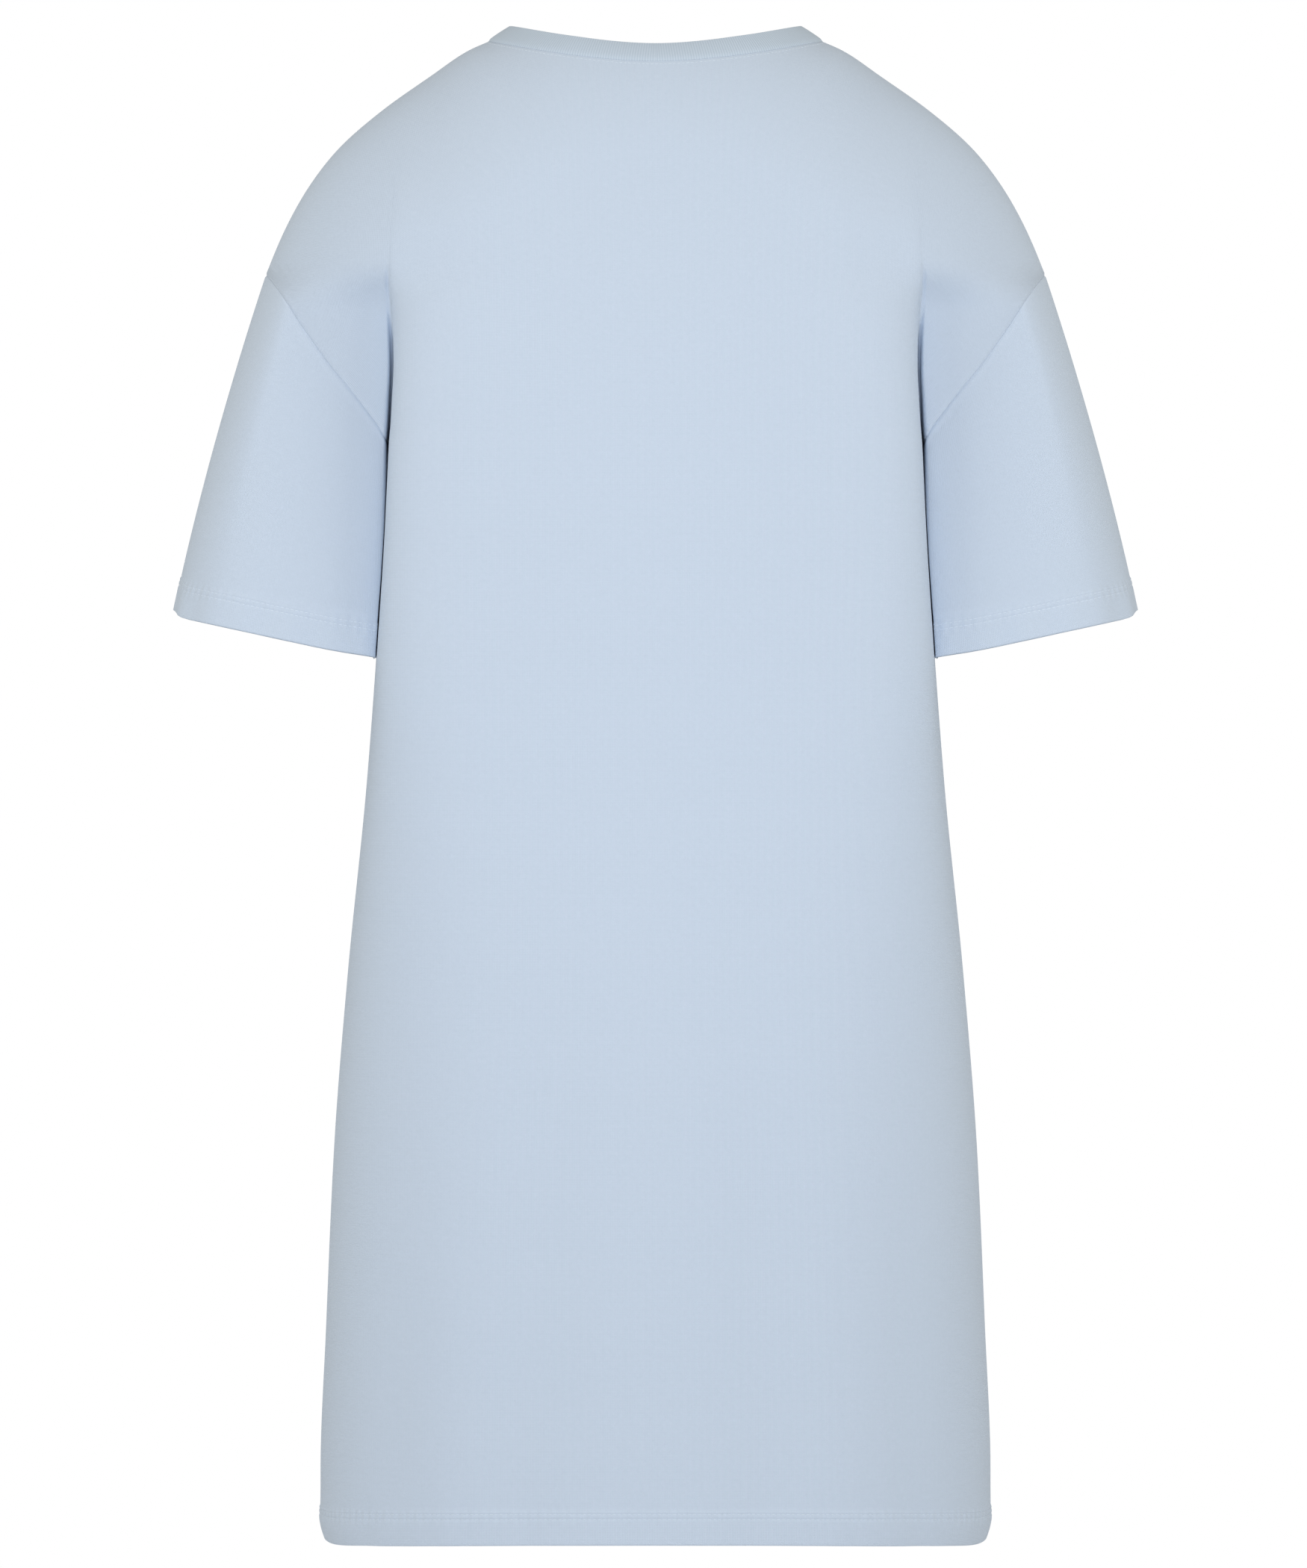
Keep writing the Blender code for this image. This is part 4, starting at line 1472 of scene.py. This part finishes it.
def set_inputs(node: bpy.types.Node, **inputs) -> None:
    """Gives a node's inputs values, or links them to output sockets.

    Args:
        node: The node.
        inputs: As add_node takes them.
    """
    for name, value in inputs.items():
        socket = node.inputs[int(name[1:])] if name[1:].isdigit() else node.inputs[name.replace("_", " ")]
        if isinstance(value, bpy.types.NodeSocket):
            node.id_data.links.new(value, socket)
        else:
            socket.default_value = value


def new_material(name: str) -> tuple[bpy.types.Material, bpy.types.NodeTree, bpy.types.Node]:
    """Starts a material.

    Args:
        name: The material's name.

    Returns:
        The material, its nodes and its Principled shader.
    """
    material = bpy.data.materials.new(name)
    material.use_nodes = True
    tree = material.node_tree
    return material, tree, tree.nodes["Principled BSDF"]


@dataclass(frozen=True)
class Jersey:
    """Combed cotton single jersey, piece-dyed: matt, very fine and even, with a soft bloom."""

    name: str = "cotton single jersey"
    colour: str = "#cedaea"
    shadow_colour: str = "#c7d4e4"
    # Real wales are about 0.8 mm apart, and are drawn a little coarser so that they show.
    wale_pitch: float = 0.0010
    course_pitch: float = 0.0008
    roughness: float = 0.92
    sheen: float = 0.12
    knit_depth: float = 0.00012
    pucker_pitch: float = 0.0060
    pucker_depth: float = 0.00030
    pucker_unevenness: float = 2.0
    needle_line: float = 0.0175
    needle_spread: float = 0.0090
    # Faint patches of about 2.4 mm, as piece-dyed cotton has.
    mottles_per_metre: float = 420.0

    def material(self) -> bpy.types.Material:
        """Makes the jersey, with the knit following the cloth's own UV map.

        Returns:
            The material.
        """
        material, tree, shader = new_material(self.name)
        uv = add_node(tree, "ShaderNodeUVMap", {"uv_map": UV_NAME}).outputs["UV"]
        wales = add_node(
            tree, "ShaderNodeTexWave", {"bands_direction": "X"}, Vector=uv, Scale=WAVE_SCALE / self.wale_pitch
        ).outputs["Fac"]
        slanted = add_node(
            tree, "ShaderNodeVectorMath", {"operation": "MULTIPLY_ADD"},
            i0=wales, i1=(0.0, self.course_pitch / 2, 0.0), i2=uv,
        )
        courses = add_node(
            tree, "ShaderNodeTexWave", {"bands_direction": "Y"},
            Vector=slanted.outputs[0], Scale=WAVE_SCALE / self.course_pitch,
        ).outputs["Fac"]
        loops = add_node(tree, "ShaderNodeMath", {"operation": "MULTIPLY"}, i0=wales, i1=courses)
        knit = add_node(tree, "ShaderNodeBump", Height=loops.outputs[0], Distance=self.knit_depth)
        up = add_node(tree, "ShaderNodeSeparateXYZ", Vector=uv).outputs["Y"]
        off_line = add_node(tree, "ShaderNodeMath", {"operation": "SUBTRACT"}, i0=up, i1=self.needle_line)
        distance = add_node(tree, "ShaderNodeMath", {"operation": "ABSOLUTE"}, i0=off_line.outputs[0])
        near = add_node(
            tree, "ShaderNodeMapRange", {"interpolation_type": "SMOOTHSTEP"},
            Value=distance.outputs[0], From_Min=self.needle_spread, From_Max=0.0,
        )
        puckers = add_node(
            tree, "ShaderNodeTexWave", {"bands_direction": "X"},
            Vector=uv, Scale=WAVE_SCALE / self.pucker_pitch, Distortion=self.pucker_unevenness,
        )
        bump = add_node(
            tree, "ShaderNodeBump", Height=puckers.outputs["Fac"], Distance=self.pucker_depth,
            Strength=near.outputs[0], Normal=knit.outputs["Normal"],
        )
        mottle = add_node(
            tree, "ShaderNodeTexNoise", Vector=uv, Scale=self.mottles_per_metre, Detail=3.0, Roughness=0.6
        )
        mix = add_node(
            tree, "ShaderNodeMix", {"data_type": "RGBA"}, i0=mottle.outputs["Fac"],
            i6=linear_colour(self.shadow_colour), i7=linear_colour(self.colour),
        )
        set_inputs(
            shader, Base_Color=mix.outputs[2], Normal=bump.outputs["Normal"], Roughness=self.roughness,
            Specular_IOR_Level=CLOTH_SPECULAR, Sheen_Weight=self.sheen, Sheen_Roughness=0.6,
        )
        return material


@dataclass(frozen=True)
class Rib:
    """One-by-one cotton rib of the neckband: fine upright ribs, a touch greyer than the jersey."""

    name: str = "cotton one-by-one rib"
    colour: str = "#cad6e4"
    # Painted shade: the darker colour of the rib's valleys, where shade falls between the ribs.
    painted_valley_shade: str = "#bdcbd9"
    # Real ribs are about 1.4 mm apart, and are drawn a little coarser so that they show.
    rib_pitch: float = 0.0016
    rib_depth: float = 0.00020
    roughness: float = 0.92
    sheen: float = 0.1

    def material(self) -> bpy.types.Material:
        """Makes the rib, with its ribs across the band and painted shade in their valleys.

        Returns:
            The material.
        """
        material, tree, shader = new_material(self.name)
        uv = add_node(tree, "ShaderNodeUVMap", {"uv_map": UV_NAME}).outputs["UV"]
        ribs = add_node(
            tree, "ShaderNodeTexWave", {"bands_direction": "X"}, Vector=uv, Scale=WAVE_SCALE / self.rib_pitch
        ).outputs["Fac"]
        bump = add_node(tree, "ShaderNodeBump", Height=ribs, Distance=self.rib_depth, Strength=0.7)
        # Painted shade: the ribs' heights blend the colour towards the darker shade in the valleys.
        mix = add_node(
            tree, "ShaderNodeMix", {"data_type": "RGBA"}, i0=ribs,
            i6=linear_colour(self.painted_valley_shade), i7=linear_colour(self.colour),
        )
        set_inputs(
            shader, Base_Color=mix.outputs[2], Normal=bump.outputs["Normal"], Roughness=self.roughness,
            Specular_IOR_Level=CLOTH_SPECULAR, Sheen_Weight=self.sheen,
        )
        return material


@dataclass(frozen=True)
class Thread:
    """Spun polyester sewing thread, dyed to match: a little lighter and smoother than the cloth."""

    name: str = "spun polyester thread"
    colour: str = "#dde8f4"
    # The plies of a 0.4 mm thread are too fine to show, and slanting waves over each stitch stand for them.
    ply_scale: float = 142.857
    ply_depth: float = 0.00003
    roughness: float = 0.6

    def material(self) -> bpy.types.Material:
        """Makes the thread.

        Returns:
            The material.
        """
        material, tree, shader = new_material(self.name)
        place = add_node(tree, "ShaderNodeTexCoord").outputs["Object"]
        wave = add_node(
            tree, "ShaderNodeTexWave", {"bands_direction": "DIAGONAL"},
            Vector=place, Scale=self.ply_scale, Distortion=0.5,
        )
        bump = add_node(tree, "ShaderNodeBump", Height=wave.outputs["Fac"], Distance=self.ply_depth, Strength=0.5)
        colour = linear_colour(self.colour)
        set_inputs(shader, Base_Color=colour, Normal=bump.outputs["Normal"], Roughness=self.roughness)
        return material


@dataclass(frozen=True)
class Softbox:
    """A large soft light."""

    name: str
    place: tuple[float, float, float]
    size: float
    watts: float
    colour: str

    def build(self, aim: Vector) -> None:
        """Adds the light, turned to its aim.

        Args:
            aim: The point that it faces.
        """
        data = bpy.data.lights.new(self.name, "AREA")
        data.shape = "DISK"
        data.size = self.size
        data.energy = self.watts
        data.color = linear_colour(self.colour)[:3]
        light = bpy.data.objects.new(self.name, data)
        bpy.context.scene.collection.objects.link(light)
        light.location = self.place
        light.visible_camera = False
        light.rotation_euler = (aim - light.location).to_track_quat("-Z", "Y").to_euler()


@dataclass(frozen=True)
class Studio:
    """A plain white studio: pale floor where a wearer would stand, soft light and a long lens."""

    pixel: float = 0.00045
    image: tuple[int, int] = (1750, 2100)
    middle_column: float = 877.7
    shoulder_row: float = 60.0
    camera_distance: float = 16.0
    sensor: float = 36.0
    floor_height: float = -1.40
    floor_radius: float = 5.0
    floor_thickness: float = 0.02
    aim_height: float = -0.34
    ambient: float = 0.560
    ambient_colour: str = "#fcfbf6"
    floor_colour: str = "#eef0f2"
    softboxes: tuple[Softbox, ...] = (
        Softbox("back key softbox", (0.0, 1.45, -0.30), 0.8, 5.9, "#e4edff"),
        Softbox("front key softbox", (0.0, -1.45, -0.30), 0.8, 5.9, "#e4edff"),
        Softbox("left side softbox", (1.45, 1.05, 0.38), 0.8, 8.0, "#faf7ee"),
        Softbox("right side softbox", (-1.45, 1.05, 0.38), 0.8, 8.0, "#faf7ee"),
    )

    def camera(self) -> None:
        """Adds the camera, level behind the garment, as the photograph was taken."""
        width, height = self.image
        data = bpy.data.cameras.new("camera")
        data.sensor_width = self.sensor
        data.lens = self.sensor * self.camera_distance / (height * self.pixel)
        data.clip_end = 100.0
        camera = bpy.data.objects.new("camera", data)
        bpy.context.scene.collection.objects.link(camera)
        x = (self.middle_column - width / 2) * self.pixel
        z = (self.shoulder_row - height / 2) * self.pixel
        camera.location = (x, self.camera_distance, z)
        camera.rotation_euler = (math.pi / 2, 0, math.pi)
        bpy.context.scene.camera = camera

    def floor(self) -> None:
        """Adds the floor, at the height of a wearer's feet."""
        deselect_all()
        bpy.ops.mesh.primitive_cylinder_add(
            vertices=96, radius=self.floor_radius, depth=self.floor_thickness,
            location=(0, 0, self.floor_height - self.floor_thickness / 2),
        )
        floor = bpy.context.object
        floor.name = "floor"
        material, _, shader = new_material("matt white vinyl")
        set_inputs(shader, Base_Color=linear_colour(self.floor_colour), Roughness=0.8)
        floor.data.materials.append(material)

    def surroundings(self) -> None:
        """Sets a white background that lights the garment evenly from all round."""
        world = bpy.data.worlds.new("white studio")
        world.use_nodes = True
        tree = world.node_tree
        shown = tree.nodes["Background"]
        set_inputs(shown, Color=(1, 1, 1, 1), Strength=1.0)
        light = add_node(tree, "ShaderNodeBackground", Color=linear_colour(self.ambient_colour), Strength=self.ambient)
        ray = add_node(tree, "ShaderNodeLightPath").outputs["Is Camera Ray"]
        mix = add_node(tree, "ShaderNodeMixShader", i0=ray, i1=light.outputs[0], i2=shown.outputs[0])
        set_inputs(tree.nodes["World Output"], Surface=mix.outputs[0])
        bpy.context.scene.world = world
        bpy.context.scene.view_settings.view_transform = "Standard"

    def build(self) -> None:
        """Makes the studio."""
        self.camera()
        self.floor()
        self.surroundings()
        for softbox in self.softboxes:
            softbox.build(Vector((0, 0, self.aim_height)))


class SheetCut(NamedTuple):
    """The flat cut of what shows of a cloth piece."""

    width: float
    length: float
    area: float


def outward_of(grid: Array) -> Array:
    """Finds the outward way along a line of a hem.

    Args:
        grid: The line's points.

    Returns:
        Level directions of length 1, away from the line's middle.
    """
    along = np.gradient(grid, axis=0)
    way = np.stack([along[:, 1], -along[:, 0], 0 * along[:, 2]], -1)
    away = grid - grid.mean(axis=0)
    return unit(way) * np.sign((way * away).sum(-1).mean())


def needle_lines(grid: Array, hem: HemProfile) -> list[tuple[Array, Array]]:
    """Returns the two needle lines of a hem with their outward ways."""
    lines = [grid[hem.row_at(row), :, :3] for row in hem.needle_rows]
    return [(line, outward_of(line)) for line in lines]


def main() -> None:
    """Builds the nightshirt's pieces in order, then the studio."""
    jersey, rib, thread = Jersey().material(), Rib().material(), Thread().material()
    stitching, panels = Stitching(), ["back_panel", "front_panel"]
    hemmed = (
        (BodyPanel(Face.BACK), SheetCut(0.56, 0.958, 0.467), ["neckband"]),
        (BodyPanel(Face.FRONT), SheetCut(0.56, 0.962, 0.470), ["neckband"]),
        (Sleeve(Side.LEFT), SheetCut(0.453, 0.210, 0.070), panels),
        (Sleeve(Side.RIGHT), SheetCut(0.453, 0.210, 0.070), panels),
    )
    for part, cut, rests_on in hemmed:
        piece, hem_grid = part.build()
        dress(piece, jersey, Slot.JERSEY, part.node())
        log.info("%s: %d faces", piece.name, len(piece.data.polygons))
        stitches = stitching.build(f"{part.node()}_hem_stitches", needle_lines(hem_grid, part.hem))
        dress(stitches, thread, Slot.JERSEY)
        log.info("%s: %d faces", stitches.name, len(stitches.data.polygons))
    piece = Neckband().build()
    dress(piece, rib, Slot.RIB, "neckband")
    cut = SheetCut(0.60, 0.0163, 0.0097)
    log.info("%s: %d faces", piece.name, len(piece.data.polygons))
    fine = Stitching(pitch=0.0027, length=0.0020, width=0.00050, height=0.00045)
    stitches = fine.build("neck_topstitch", [NeckTopstitch().line(face) for face in Face])
    dress(stitches, thread, Slot.JERSEY)
    log.info("%s: %d faces", stitches.name, len(stitches.data.polygons))
    Studio().build()


if __name__ == "__main__":
    logging.basicConfig(level=logging.INFO, format="%(message)s")
    main()
